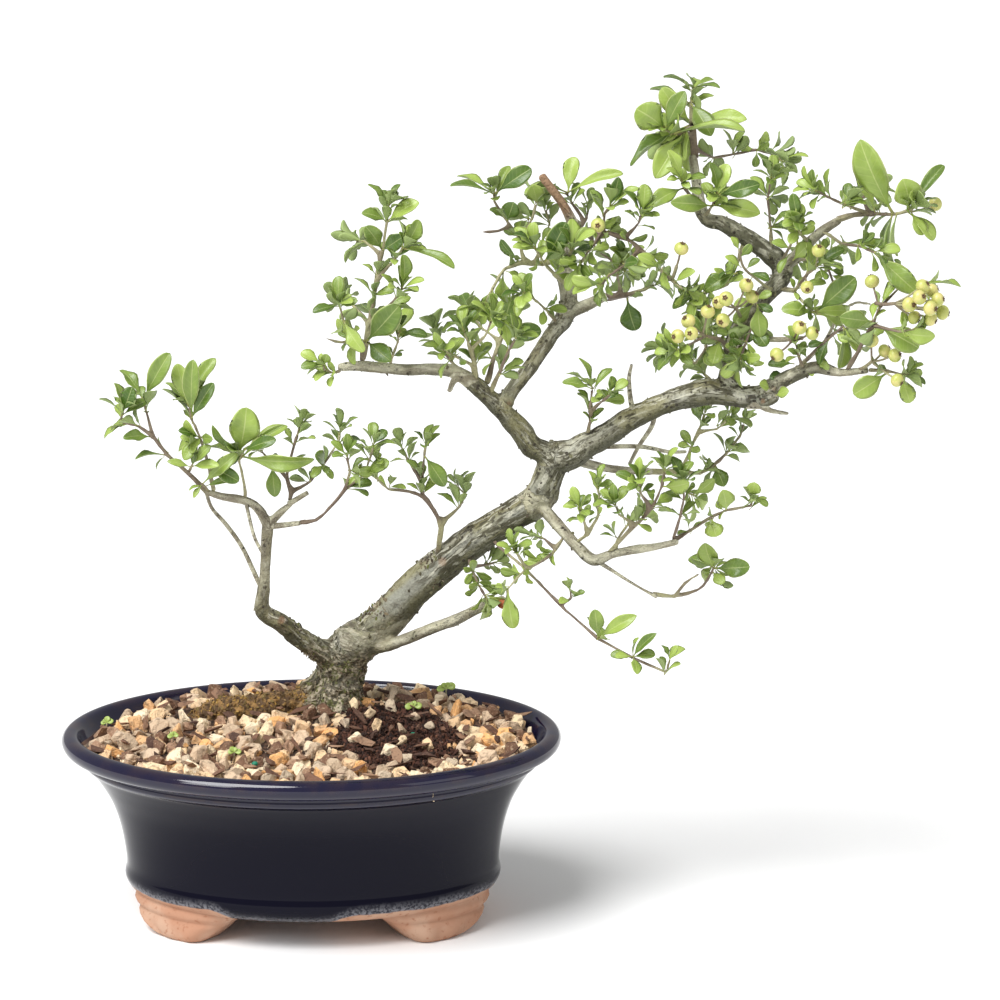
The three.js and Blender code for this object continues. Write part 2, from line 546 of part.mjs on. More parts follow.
    leaves: [
      [[193, -7, 199], [194, -14, 211], 9, 0.9], [[192, -8, 198], [191, -14, 189], 9, 0.9],
      [[208, 0, 203], [209, -6, 213], 7, 0.8], [[209, 0, 204], [216, -2, 201], 4, 0.4],
    ],
  },
  { name: 'low_cluster',
    twigs: [
      [4, 3, 11, [[161, -13, 161], [171, -10, 159], [181, -6, 160], [186, -3, 162], [189, -1, 167],
        [191, 0, 171]]],
      [9, 0, 9, [[171.9, -9.6, 159.1], [176, -18, 168], [183, -22, 173]]],
    ],
    leaves: [
      [[190, 0, 170], [207, -8, 173], 9, 0.9], [[190, 0, 170], [186, -8, 184], 10, 1],
      [[190, 0, 170], [179, 6, 174], 7, 0.6], [[191, 0, 169], [195, -8, 165], 6, 0.8],
      [[192, 0, 171], [207, 8, 176], 4, 0.2],
    ],
  },
  { name: 'limb_sprig',
    twigs: [
      [1, 3, 8, [[131, 8, 233], [132, 4, 239], [132, -2, 248], [133, -5, 258]]],
      [0, 2, 8, [[132, -0.8, 246.2], [136, -7, 251], [141, -11, 256]]],
    ],
    leaves: [
      [[133, -5, 259], [127, -8, 273], 4, 0.3], [[132, -5, 255], [119, -10, 262], 5, 0.5],
      [[133, -5, 260], [142, -2, 267], 5, 0.4],
    ],
  },
  { name: 'under',
    twigs: [
      [1, 2, 9, [[121, 0, 187], [116, -6, 181], [111, -9, 177], [102, -13, 173], [93, -17, 164]]],
      [0, 3, 9, [[116, -6, 181], [112, 4, 183], [106, 10, 184]]],
      [0, 2, 9, [[102, -13, 173], [99, -20, 180], [96, -26, 186]]],
    ],
    leaves: [
      [[94, -17, 164], [96, -20, 146], 8, 1],
    ],
  },
  { name: 'under_b',
    twigs: [
      [1, 3, 10, [[74, 20, 174], [76, 13, 168], [79, 7, 162], [83, 2, 156]]],
      [0, 2, 9, [[76.2, 12.6, 167.6], [82, 20, 167], [88, 26, 167]]],
    ],
  },
  { name: 'long_twig',
    twigs: [
      [2, 0, 9, [[86, 20, 183], [88, 12, 179], [97, 2, 174], [107, -6, 166], [119, -14, 155],
        [134, -22, 143], [150, -28, 135], [165, -34, 129], [169, -36, 135]]],
      [1, 1, 8, [[118.2, -13.4, 155.8], [122, -18, 159], [123, -20, 164]]],
    ],
    leaves: [
      [[123, -19, 162], [124, -24, 171], 7, 0.9], [[135, -22, 143], [134, -28, 157], 7, 0.7],
      [[136, -22, 143], [153, -30, 155], 7, 0.7], [[151, -28, 135], [154, -32, 145], 3, 0.3],
      [[152, -28, 135], [162, -36, 148], 5, 0.5], [[169, -36, 135], [172, -40, 143], 4, 0.6],
      [[166, -34, 129], [165, -28, 135], 3, 0.3],
    ],
  },
];

// Berries: where the bunch leaves its carrier, the hub of its stalks, and each berry's middle
const BUNCHES = [
  { name: 'right', carrier: 'far_b', root: [261, -34, 303], hub: [269, -41, 304],
    berries: [[281, -48, 313], [279, -54, 309], [286, -42, 310], [288, -48, 307], [275, -50, 305],
      [278, -44, 298], [284, -54, 304], [291, -42, 300], [285, -48, 298]] },
  { name: 'lower_right', carrier: 'wood', root: [256, -17, 269], hub: [261, -24, 274],
    berries: [[260, -30, 285], [267, -24, 279], [271, -30, 278], [272, -33, 267]] },
  { name: 'middle', carrier: 'wood', root: [224, -15, 283], hub: [224, -22, 283],
    berries: [[227, -30, 291], [233, -28, 288], [217, -28, 278]] },
  { name: 'left_a', carrier: 'riser_left', root: [185, -18, 285], hub: [183, -24, 287],
    berries: [[176, -30, 294], [171, -36, 288], [177, -40, 290], [185, -28, 298]] },
  { name: 'left_b', carrier: 'wood', root: [204, 7, 287], hub: [199, -12, 297],
    berries: [[190, -26, 302], [193, -34, 305], [192, -28, 294], [203, -20, 309], [206, -16, 303]] },
  { name: 'single_front', carrier: 'front', root: [169, -12, 310], hub: [171, -16, 317],
    berries: [[173, -20, 326]] },
  { name: 'single_centre', carrier: 'front', root: [137, 12, 333], hub: [136, 4, 334],
    berries: [[135, -8, 335]] },
];

// Solids

// A closed mesh with its faces turned outward, as a solid
function solidFrom(geometry) {
  const bare = geometry.clone();
  bare.deleteAttribute('normal');
  bare.deleteAttribute('uv');
  const merged = mergeVertices(bare, 1e-4);
  const vertProperties = new Float32Array(merged.attributes.position.array);
  const kept = [];
  for (let t = 0; t < merged.index.count; t += 3) {
    const [a, b, c] = merged.index.array.slice(t, t + 3);
    if (a !== b && b !== c && c !== a) kept.push(a, b, c);
  }
  const triVerts = new Uint32Array(kept);
  const corner = (index) => new THREE.Vector3().fromArray(vertProperties, triVerts[index] * 3);
  let volume = 0;
  for (let t = 0; t < triVerts.length; t += 3) {
    volume += corner(t).dot(corner(t + 1).cross(corner(t + 2)));
  }
  if (volume < 0) {
    for (let t = 0; t < triVerts.length; t += 3) {
      [triVerts[t + 1], triVerts[t + 2]] = [triVerts[t + 2], triVerts[t + 1]];
    }
  }
  return new wasm.Manifold(new wasm.Mesh({ numProp: 3, vertProperties, triVerts }));
}

// A solid's triangles back as a geometry
function geometryFrom(solid) {
  const mesh = solid.getMesh();
  const geometry = new THREE.BufferGeometry();
  geometry.setAttribute('position', new THREE.BufferAttribute(new Float32Array(mesh.vertProperties), 3));
  geometry.setIndex(new THREE.BufferAttribute(new Uint32Array(mesh.triVerts), 1));
  geometry.computeVertexNormals();
  return geometry;
}

// The largest single body of a solid, which drops loose scraps and fills sealed hollows
function largestBody(solid) {
  const bodies = solid.decompose();
  return bodies.reduce((best, body) => (body.volume() > best.volume() ? body : best));
}

function indexedGeometry(positions, indices) {
  const geometry = new THREE.BufferGeometry();
  geometry.setAttribute('position', new THREE.Float32BufferAttribute(positions, 3));
  geometry.setIndex(indices);
  return geometry;
}

// A repeatable number from 0 to 1 for each seed
function draw(seed) {
  const wave = Math.sin(seed * 12.9898) * 43758.5453;
  return wave - Math.floor(wave);
}

function vector(point) {
  return new THREE.Vector3(point[0], point[1], point[2]);
}

// Any direction square to an axis, the same each time
function squareTo(axis) {
  const helper = Math.abs(axis.z) < 0.9 ? new THREE.Vector3(0, 0, 1) : new THREE.Vector3(1, 0, 0);
  return new THREE.Vector3().crossVectors(axis, helper).normalize();
}

// A tapering stem through points [x, y, z, radius], with flat ends
function stemSolid(points, sides, grow = 0) {
  const centres = points.map(vector);
  const last = centres.length - 1;
  const startStep = centres[1].clone().sub(centres[0]).normalize();
  const endStep = centres[last].clone().sub(centres[last - 1]).normalize();
  centres[0].addScaledVector(startStep, -grow);
  centres[last].addScaledVector(endStep, grow);
  const positions = [];
  const indices = [];
  let across = squareTo(startStep);
  centres.forEach((centre, i) => {
    const along = centres[Math.min(i + 1, last)].clone().sub(centres[Math.max(i - 1, 0)]).normalize();
    across = across.clone().addScaledVector(along, -across.dot(along)).normalize();
    const beside = new THREE.Vector3().crossVectors(along, across);
    for (let k = 0; k < sides; k++) {
      const angle = (2 * Math.PI * k) / sides;
      const radius = points[i][3] + grow;
      const corner = centre.clone().addScaledVector(across, Math.cos(angle) * radius);
      corner.addScaledVector(beside, Math.sin(angle) * radius);
      positions.push(corner.x, corner.y, corner.z);
    }
  });
  for (let i = 0; i < last; i++) {
    for (let k = 0; k < sides; k++) {
      const a = i * sides + k;
      const b = i * sides + ((k + 1) % sides);
      indices.push(a, b, b + sides, a, b + sides, a + sides);
    }
  }
  for (let k = 1; k < sides - 1; k++) {
    indices.push(0, k + 1, k);
    indices.push(last * sides, last * sides + k, last * sides + k + 1);
  }
  return solidFrom(indexedGeometry(positions, indices));
}

// Half of a leaf's width at a part of its length, widest past the middle
function halfWidthAt(part, width) {
  return (width / 2) * Math.sin(Math.PI * part ** LEAF_SKEW) ** LEAF_FULLNESS;
}

// Cross-sections of a folded and arched blade, each as its left edge, top, right edge and underside
function bladeSections(leaf, grow) {
  const chord = leaf.tip.clone().sub(leaf.base);
  const length = chord.length();
  const along = chord.divideScalar(length);
  const up = leaf.up.clone().addScaledVector(along, -leaf.up.dot(along)).normalize();
  const side = new THREE.Vector3().crossVectors(along, up);
  let parts = [0.62];
  if (length >= LONG_LEAF) parts = [0.38, 0.76];
  if (leaf.width >= BROAD_LEAF) parts = [0.34, 0.7, 0.92];
  const sections = parts.map((part) => {
    const bow = LEAF_ARCH * length * 4 * part * (1 - part);
    const middle = leaf.base.clone().addScaledVector(along, part * length).addScaledVector(up, bow);
    const half = halfWidthAt(part, leaf.width);
    const thick = MIDRIB_HALF_THICKNESS + grow;
    return [
      middle.clone().addScaledVector(side, -half - grow).addScaledVector(up, LEAF_FOLD * half),
      middle.clone().addScaledVector(up, thick),
      middle.clone().addScaledVector(side, half + grow).addScaledVector(up, LEAF_FOLD * half),
      middle.clone().addScaledVector(up, -thick),
    ];
  });
  return { sections, tip: leaf.tip.clone().addScaledVector(along, grow) };
}

// Adds a blade that grows from four corners already in the surface, with both faces split alike
function addBlade(positions, indices, leaf, root, grow = 0) {
  const { sections, tip } = bladeSections(leaf, grow);
  const rootCorners = root.map((index) => new THREE.Vector3().fromArray(positions, index * 3));
  const spread = (offset) => rootCorners.reduce(
    (sum, corner, k) => sum + corner.distanceTo(sections[0][(k + offset) % 4]), 0);
  const offset = [0, 1, 2, 3].reduce((best, other) => (spread(other) < spread(best) ? other : best));
  let loop = root;
  sections.forEach((section, i) => {
    const first = positions.length / 3;
    for (const corner of section) positions.push(corner.x, corner.y, corner.z);
    const turn = i === 0 ? offset : 0;
    const next = [0, 1, 2, 3].map((k) => first + ((k + turn) % 4));
    for (let k = 0; k < 4; k++) {
      const n = (k + 1) % 4;
      if (k % 2 === 0) indices.push(loop[k], loop[n], next[n], loop[k], next[n], next[k]);
      else indices.push(loop[k], loop[n], next[k], loop[n], next[n], next[k]);
    }
    loop = [0, 1, 2, 3].map((k) => first + k);
  });
  const tipIndex = positions.length / 3;
  positions.push(tip.x, tip.y, tip.z);
  for (let k = 0; k < 4; k++) indices.push(tipIndex, loop[k], loop[(k + 1) % 4]);
}

// A blade by itself, from the four corners of its root to its tip, thicker all round by a margin
function bladeSolid(leaf, grow = 0) {
  const positions = [];
  for (const corner of leaf.corners) {
    const out = corner.clone().sub(leaf.base).normalize();
    positions.push(...corner.clone().addScaledVector(out, grow).toArray());
  }
  const indices = [0, 2, 1, 0, 3, 2];
  addBlade(positions, indices, leaf, [0, 1, 2, 3], grow);
  return solidFrom(indexedGeometry(positions, indices));
}

// A small faceted pome
function berrySolid(centre) {
  const geometry = new THREE.IcosahedronGeometry(BERRY_RADIUS, 0);
  geometry.rotateX(centre.x);
  geometry.rotateZ(centre.z);
  geometry.translate(centre.x, centre.y, centre.z);
  return solidFrom(geometry);
}

function stalkSolid(from, to) {
  const line = [[...from.toArray(), STALK_RADIUS], [...to.toArray(), STALK_RADIUS]];
  return stemSolid(line, 3);
}

function uprightCylinder(radius, height, x, z) {
  const geometry = new THREE.CylinderGeometry(radius, radius, height, 12);
  geometry.rotateX(Math.PI / 2);
  geometry.translate(x, 0, z);
  return solidFrom(geometry);
}

// Pot

// A round profile spun up and drawn out sideways into an oval with an even wall
function ovalGeometry(profile, sides) {
  const points = profile.map(([radius, height]) => new THREE.Vector2(Math.max(radius - STRETCH, 0), height));
  const geometry = new THREE.LatheGeometry(points, sides);
  geometry.rotateX(Math.PI / 2);
  const position = geometry.attributes.position;
  const turns = geometry.attributes.uv;
  for (let i = 0; i < position.count; i++) {
    const angle = turns.getX(i) * 2 * Math.PI;
    position.setX(i, position.getX(i) + STRETCH * Math.sin(angle));
  }
  return geometry;
}

// One cloud foot: a block under the wall that tapers to a flat sole
function footSolid(start, way) {
  const positions = [];
  const indices = [];
  const loop = 2 * (FOOT_STEPS + 1);
  for (const level of FOOT_LEVELS) {
    const middle = start + way * level.turn;
    for (let k = 0; k < loop; k++) {
      const outside = k <= FOOT_STEPS;
      const fraction = outside ? k / FOOT_STEPS : (loop - 1 - k) / FOOT_STEPS;
      const angle = middle + level.span * (2 * fraction - 1);
      const radius = (outside ? level.outer : level.inner) - STRETCH;
      positions.push((radius + STRETCH) * Math.cos(angle), radius * Math.sin(angle), level.z);
    }
  }
  for (let i = 0; i < FOOT_LEVELS.length - 1; i++) {
    for (let k = 0; k < loop; k++) {
      const a = i * loop + k;
      const b = i * loop + ((k + 1) % loop);
      indices.push(a, b, b + loop, a, b + loop, a + loop);
    }
  }
  const top = (FOOT_LEVELS.length - 1) * loop;
  for (let k = 0; k < FOOT_STEPS; k++) {
    const opposite = loop - 1 - k;
    indices.push(k, opposite, k + 1, k + 1, opposite, opposite - 1);
    indices.push(top + k, top + k + 1, top + opposite, top + k + 1, top + opposite - 1, top + opposite);
  }
  return solidFrom(indexedGeometry(positions, indices));
}

function potSolid() {
  const profile = [[0, UNDERSIDE], ...OUTER_WALL, ...[...INNER_WALL].reverse(), [0, FLOOR_TOP]];
  let pot = solidFrom(ovalGeometry(profile, POT_SIDES));
  for (const [start, way] of [[0, 1], [Math.PI, -1], [Math.PI, 1], [0, -1]]) {
    pot = pot.add(footSolid(start, way));
  }
  for (const x of [-DRAIN_X, DRAIN_X]) {
    pot = pot.subtract(uprightCylinder(DRAIN_RADIUS, 2 * FLOOR_TOP, x, FLOOR_TOP));
  }
  return pot;
}

// A disc with a grid of square openings
function screenSolid(x) {
  const middle = FLOOR_TOP + GAP + SCREEN_THICKNESS / 2;
  let screen = uprightCylinder(SCREEN_RADIUS, SCREEN_THICKNESS, x, middle);
  for (const column of [-0.5, 0.5]) {
    for (const row of [-0.5, 0.5]) {
      const opening = new THREE.BoxGeometry(
        SCREEN_MESH - SCREEN_BAR, SCREEN_MESH - SCREEN_BAR, 3 * SCREEN_THICKNESS);
      opening.translate(x + column * SCREEN_MESH, row * SCREEN_MESH, middle);
      screen = screen.subtract(solidFrom(opening));
    }
  }
  return screen;
}

// Soil and gravel

function innerRadiusAt(height) {
  const above = INNER_WALL.findIndex(([, z]) => z >= height);
  const [r1, z1] = INNER_WALL[above];
  const [r0, z0] = INNER_WALL[above - 1];
  return r0 + ((r1 - r0) * (height - z0)) / (z1 - z0);
}

function soilSolid(wood) {
  const bottom = FLOOR_TOP + GAP;
  const profile = [[0, bottom], [INNER_WALL[0][0] - WALL_GAP, bottom]];
  for (const [radius, height] of INNER_WALL.slice(1, -1)) profile.push([radius - WALL_GAP, height]);
  profile.push([innerRadiusAt(SOIL_TOP) - WALL_GAP, SOIL_TOP], [0, SOIL_TOP]);
  let soil = solidFrom(ovalGeometry(profile, SOIL_SIDES));
  for (const x of [-DRAIN_X, DRAIN_X]) {
    const pocketDepth = 3 * SCREEN_THICKNESS;
    const pocketTop = FLOOR_TOP + SCREEN_THICKNESS + 2 * GAP;
    soil = soil.subtract(uprightCylinder(SCREEN_RADIUS + GAP, pocketDepth, x, pocketTop - pocketDepth / 2));
  }
  return soil.subtract(wood);
}

function moundAt(x, y) {
  const u = (x - MOUND.x) / MOUND.spreadX;
  const v = (y - MOUND.y) / MOUND.spreadY;
  return MOUND.height * Math.exp(-(u * u + v * v));
}

// Height of the gravel's surface at a lattice corner: every third corner is a grain's peak
function gravelHeight(x, y, q, r, seed) {
  const peak = (((q - r) % 3) + 3) % 3 === 0;
  const rise = peak ? GRAIN_RISE * (0.7 + 0.6 * draw(seed)) : HOLLOW_RISE * draw(seed);
  return GRAVEL_SURFACE + moundAt(x, y) + rise;
}

// One layer over the soil: rings of a six-cornered lattice drawn round, with a grain at every third corner
function gravelSolid(wood) {
  const directions = [[1, 0], [0, 1], [-1, 1], [-1, 0], [0, -1], [1, -1]];
  const rim = innerRadiusAt(GRAVEL_SURFACE) - WALL_GAP;
  const rings = [[0]];
  const positions = [0, 0, gravelHeight(0, 0, 0, 0, 1)];
  for (let ring = 1; ring <= GRAVEL_RINGS; ring++) {
    rings.push([]);
    const jitter = ring < GRAVEL_RINGS ? LATTICE_JITTER : 0;
    for (let k = 0; k < 6 * ring; k++) {
      const sector = Math.floor(k / ring);
      const step = k % ring;
      const [q0, r0] = directions[sector];
      const [q1, r1] = directions[(sector + 1) % 6];
      const q = q0 * (ring - step) + q1 * step;
      const r = r0 * (ring - step) + r1 * step;
      const seed = ring * 71 + k;
      const angle = (2 * Math.PI * k) / (6 * ring);
      const part = ring / GRAVEL_RINGS;
      const x = part * rim * Math.cos(angle) + (draw(seed) - 0.5) * jitter;
      const y = part * (rim - STRETCH) * Math.sin(angle) + (draw(seed + 0.5) - 0.5) * jitter;
      rings[ring].push(positions.length / 3);
      positions.push(x, y, gravelHeight(x, y, q, r, seed + 0.3));
    }
  }
  const indices = [];
  const at = (ring, k) => rings[ring][k % rings[ring].length];
  for (let ring = 1; ring <= GRAVEL_RINGS; ring++) {
    for (let k = 0; k < 6 * ring; k++) {
      const inner = k - Math.floor(k / ring);
      indices.push(at(ring - 1, inner), at(ring, k), at(ring, k + 1));
      if (k % ring < ring - 1) indices.push(at(ring - 1, inner), at(ring, k + 1), at(ring - 1, inner + 1));
    }
  }
  const bottom = SOIL_TOP + GAP;
  const foot = innerRadiusAt(bottom) - WALL_GAP;
  const count = 6 * GRAVEL_RINGS;
  const first = positions.length / 3;
  for (let k = 0; k < count; k++) {
    const angle = (2 * Math.PI * k) / count;
    positions.push(foot * Math.cos(angle), (foot - STRETCH) * Math.sin(angle), bottom);
  }
  for (let k = 0; k < count; k++) {
    const next = (k + 1) % count;
    indices.push(at(GRAVEL_RINGS, k), first + k, first + next);
    indices.push(at(GRAVEL_RINGS, k), first + next, at(GRAVEL_RINGS, next));
    if (k > 0 && next > 0) indices.push(first, first + next, first + k);
  }
  return largestBody(solidFrom(indexedGeometry(positions, indices)).subtract(wood));
}

// Wood

function sidesFor(radius) {
  if (radius > THICK_LIMB.radius) return THICK_LIMB.sides;
  if (radius > MIDDLING_LIMB.radius) return MIDDLING_LIMB.sides;
  return THIN_LIMB_SIDES;
}

function woodSolid(grow = 0) {
  const limbs = LIMBS.map(([, points]) => stemSolid(points, sidesFor(points[0][3]), grow));
  limbs.push(stemSolid(ROOT_CROWN, ROOT_CROWN_SIDES, grow));
  return largestBody(wasm.Manifold.union(limbs));
}

// Shoots

// A twig's rings of corners from root to tip, grown all round by a margin.
// A leafy point has two close rings, with a face for each leaf.
function twigRings([bare, , , points], rootRadius, grow = 0) {
  const centres = points.map(vector);
  const last = centres.length - 1;
  const rings = [];
  let across = null;
  const addRing = (centre, along, radius, leafy, point) => {
    if (!across) across = squareTo(along);
    across = across.clone().addScaledVector(along, -across.dot(along)).normalize();
    const beside = new THREE.Vector3().crossVectors(along, across);
    const corners = [];
    for (let k = 0; k < TWIG_SIDES; k++) {
      const angle = (2 * Math.PI * k) / TWIG_SIDES;
      const out = across.clone().multiplyScalar(Math.cos(angle)).addScaledVector(beside, Math.sin(angle));
      corners.push(centre.clone().addScaledVector(out, radius + grow));
    }
    rings.push({ centre, along, corners, leafy, point });
  };
  centres.forEach((centre, i) => {
    const along = centres[Math.min(i + 1, last)].clone().sub(centres[Math.max(i - 1, 0)]).normalize();
    const radius = rootRadius + ((TWIG_TIP_RADIUS - rootRadius) * i) / last;
    const past = i === last ? grow : 0;
    if (i < Math.max(bare, 1)) {
      addRing(centre.clone().addScaledVector(along, i === 0 ? -grow : past), along, radius, false, i);
      return;
    }
    const start = i === last ? -BAND_HEIGHT : BAND_OFFSET;
    addRing(centre.clone().addScaledVector(along, start), along, radius, true, i);
    addRing(centre.clone().addScaledVector(along, start + BAND_HEIGHT + past), along, radius, false, i);
  });
  return rings;
}

// The four corners of a face between two rings, seen from outside, with its middle and its outward way
function faceOf(rings, index, side) {
  const next = (side + 1) % TWIG_SIDES;
  const [low, high] = [rings[index].corners, rings[index + 1].corners];
  const corners = [low[side], low[next], high[next], high[side]];
  const middle = corners.reduce((sum, corner) => sum.add(corner), new THREE.Vector3()).divideScalar(4);
  const axis = rings[index].centre.clone().add(rings[index + 1].centre).divideScalar(2);
  return { corners, middle, outward: middle.clone().sub(axis).normalize() };
}

// A twig and the leaves that grow from its faces, as one closed surface
function leafyTwigSolid(twig, rootRadius, leaves, grow = 0) {
  const rings = twigRings(twig, rootRadius, grow);
  const positions = rings.flatMap((ring) => ring.corners.flatMap((corner) => corner.toArray()));
  const indices = [];
  rings.slice(0, -1).forEach((ring, i) => {
    for (let k = 0; k < TWIG_SIDES; k++) {
      const a = i * TWIG_SIDES + k;
      const b = i * TWIG_SIDES + ((k + 1) % TWIG_SIDES);
      const leaf = leaves.find((other) => other.ring === i && other.side === k);
      if (leaf) addBlade(positions, indices, leaf, [a, b, b + TWIG_SIDES, a + TWIG_SIDES]);
      else indices.push(a, b, b + TWIG_SIDES, a, b + TWIG_SIDES, a + TWIG_SIDES);
    }
  });
  const top = (rings.length - 1) * TWIG_SIDES;
  for (let k = 1; k < TWIG_SIDES - 1; k++) {
    indices.push(0, k + 1, k);
    indices.push(top, top + k, top + k + 1);
  }
  return solidFrom(indexedGeometry(positions, indices));
}

function rootRadiusOf(spray, index) {
  return index === 0 ? spray.root ?? SHOOT_RADIUS : SIDE_TWIG_RADIUS;
}

// The bare twigs of a spray, clear of their own surface all round by a margin
function twigSolid(spray, margin = 0) {
  const cornerMargin = margin / Math.cos(Math.PI / TWIG_SIDES);
  return wasm.Manifold.union(spray.twigs.map(
    (twig, index) => leafyTwigSolid(twig, rootRadiusOf(spray, index), [], cornerMargin)));
}

// Every face of a spray's twigs that can bear a leaf
function leafPlaces(spray, sprayIndex) {
  const list = [];
  spray.twigs.forEach((twig, twigIndex) => {
    const [, most, length, points] = twig;
    const rings = twigRings(twig, rootRadiusOf(spray, twigIndex));
    rings.forEach((ring, i) => {
      if (!ring.leafy) return;
      const atTip = ring.point === points.length - 1;
      for (let k = 0; k < TWIG_SIDES; k++) {
        const side = (k + ring.point) % TWIG_SIDES;
        const seed = sprayIndex * 100 + list.length + 1;
        const face = faceOf(rings, i, side);
        list.push({
          twigIndex, most, ring: i, side, face, axis: ring.along, length, atTip, seed, leaf: null,
        });
      }
    });
  });
  return list;
}

// A leaf that the photograph shows, from a free face near its base: [base, tip, width, turn to the front]
function shownLeaf(spray, places, [base, tip, width, facing]) {
  const up = new THREE.Vector3(0, -facing, 1.05 - facing);
  const end = vector(tip);
  const from = vector(base);
  const near = places.filter(({ face, leaf }) => !leaf && face.middle.distanceTo(from) < FACE_REACH
    && end.clone().sub(face.middle).normalize().dot(face.outward) > LEAST_LEAN);
  near.sort((one, other) => one.face.middle.distanceTo(from) - other.face.middle.distanceTo(from));
  for (const spot of near) {
    const leaf = { base: spot.face.middle, corners: spot.face.corners, tip: end, up, width };
    if (leafIsClear(leaf, spray.name)) return { spot, leaf };
  }
  return null;
}

// The k-th try at a leaf that grows from a twig's face by the rule, or nothing where it would graze the twig
function grownLeaf(spot, attempt) {
  const { face, axis, length, seed, atTip } = spot;
  const lean = (atTip ? TIP_LEAN : LEAF_LEAN) + (draw(seed + 0.11 * attempt) - 0.5) * LEAN_SPREAD;
  const turn = (draw(seed + 0.37 * attempt) - 0.5) * TURN_SPREAD;
  const share = SHORTEST_SHARE + SHARE_SPREAD * draw(seed + 0.3);
  const reach = length * share * (1 - SHORTER_EACH_TRY * attempt);
  const beside = new THREE.Vector3().crossVectors(axis, face.outward);
  const along = axis.clone().multiplyScalar(Math.cos(lean));
  along.addScaledVector(face.outward, Math.sin(lean) * Math.cos(turn));
  along.addScaledVector(beside, Math.sin(lean) * Math.sin(turn));
  along.z += LEAF_LIFT;
  along.normalize();
  if (along.dot(face.outward) < LEAST_LEAN) return null;
  const up = axis.clone();
  up.z += 0.4;
  const tip = face.middle.clone().addScaledVector(along, reach);
  const width = reach * (SLENDERNESS + SLENDERNESS_SPREAD * draw(seed + 0.7));
  return { base: face.middle, corners: face.corners, tip, up, width };
}

function boxesMeet(a, b) {
  return [0, 1, 2].every((k) => a.min[k] <= b.max[k] && b.min[k] <= a.max[k]);
}

// Everything placed so far, kept so that a new leaf can be tested against it
const placed = [];

function place(owner, solid) {
  placed.push({ owner, solid, box: solid.boundingBox() });
}

function meets(solid, keep) {
  const box = solid.boundingBox();
  return placed.some((other) => keep(other) && boxesMeet(box, other.box)
    && !solid.intersect(other.solid).isEmpty());
}

// True where a leaf stays clear of other pieces, and of its own spray past its stalk
function leafIsClear(leaf, owner) {
  if (meets(bladeSolid(leaf, LEAF_GAP), (other) => other.owner !== owner)) return false;
  const past = (point) => point.clone().lerp(leaf.tip, STALK_PART);
  const blade = { ...leaf, base: past(leaf.base), corners: leaf.corners.map(past), width: leaf.width * 0.9 };
  return !meets(bladeSolid(blade), (other) => other.owner === owner);
}

// Model

const group = new THREE.Group();

function addMesh(name, solid, material) {
  const mesh = new THREE.Mesh(geometryFrom(solid), material);
  mesh.name = name;
  group.add(mesh);
}

const glaze = new THREE.MeshStandardMaterial({ color: 0x14151f, roughness: 0.15, metalness: 0 });
const plastic = new THREE.MeshStandardMaterial({ color: 0x2b2b2b, roughness: 0.6, metalness: 0 });
const earth = new THREE.MeshStandardMaterial({ color: 0x3a2a20, roughness: 0.95, metalness: 0 });
const stone = new THREE.MeshStandardMaterial({ color: 0xb9a182, roughness: 0.9, metalness: 0 });
const bark = new THREE.MeshStandardMaterial({ color: 0x7a776a, roughness: 0.85, metalness: 0 });
const foliage = new THREE.MeshStandardMaterial({ color: 0x5f8f3c, roughness: 0.45, metalness: 0 });
const fruit = new THREE.MeshStandardMaterial({ color: 0xa9ac45, roughness: 0.4, metalness: 0 });

const wood = woodSolid();
const woodAndGap = woodSolid(GAP);
place('wood', wood);

const gravel = gravelSolid(woodAndGap);
const soil = soilSolid(woodAndGap);
place('gravel', gravel);

// Bare twigs first, so that every leaf is tested against them
for (const spray of SPRAYS) place(spray.name, twigSolid(spray).subtract(woodAndGap));

function berryParts([from, centre]) {
  return [berrySolid(vector(centre)), stalkSolid(vector(from), vector(centre))];
}

// Bunches of berries, on stalks from a hub, cut clear of the wood and of every twig
const twigsAndGap = wasm.Manifold.union(SPRAYS.map((spray) => twigSolid(spray, GAP)));
const bunches = BUNCHES.map((bunch) => {
  const hub = vector(bunch.hub);
  const stem = stemSolid([[...bunch.root, HUB_STEM_RADIUS], [...bunch.hub, HUB_STEM_RADIUS]], TWIG_SIDES);
  const parts = bunch.berries.flatMap((centre) => berryParts([hub.toArray(), centre]));
  const whole = wasm.Manifold.union([stem, ...parts]);
  const solid = largestBody(whole.subtract(woodAndGap).subtract(twigsAndGap));
  place(`bunch_${bunch.name}`, solid);
  return solid;
});

const sprayParts = SPRAYS.map((spray) => {
  const berries = (spray.berries ?? []).flatMap(berryParts);
  berries.forEach((berry) => place(spray.name, berry));
  return berries;
});

// The leaves that the photograph shows go first, then those that grow by the rule
const placesBySpray = SPRAYS.map(leafPlaces);

function putLeaf(spray, spot, leaf) {
  place(spray.name, bladeSolid(leaf));
  spot.leaf = leaf;
}

SPRAYS.forEach((spray, i) => {
  for (const shown of spray.leaves ?? []) {
    const found = shownLeaf(spray, placesBySpray[i], shown);
    if (found) putLeaf(spray, found.spot, found.leaf);
  }
});

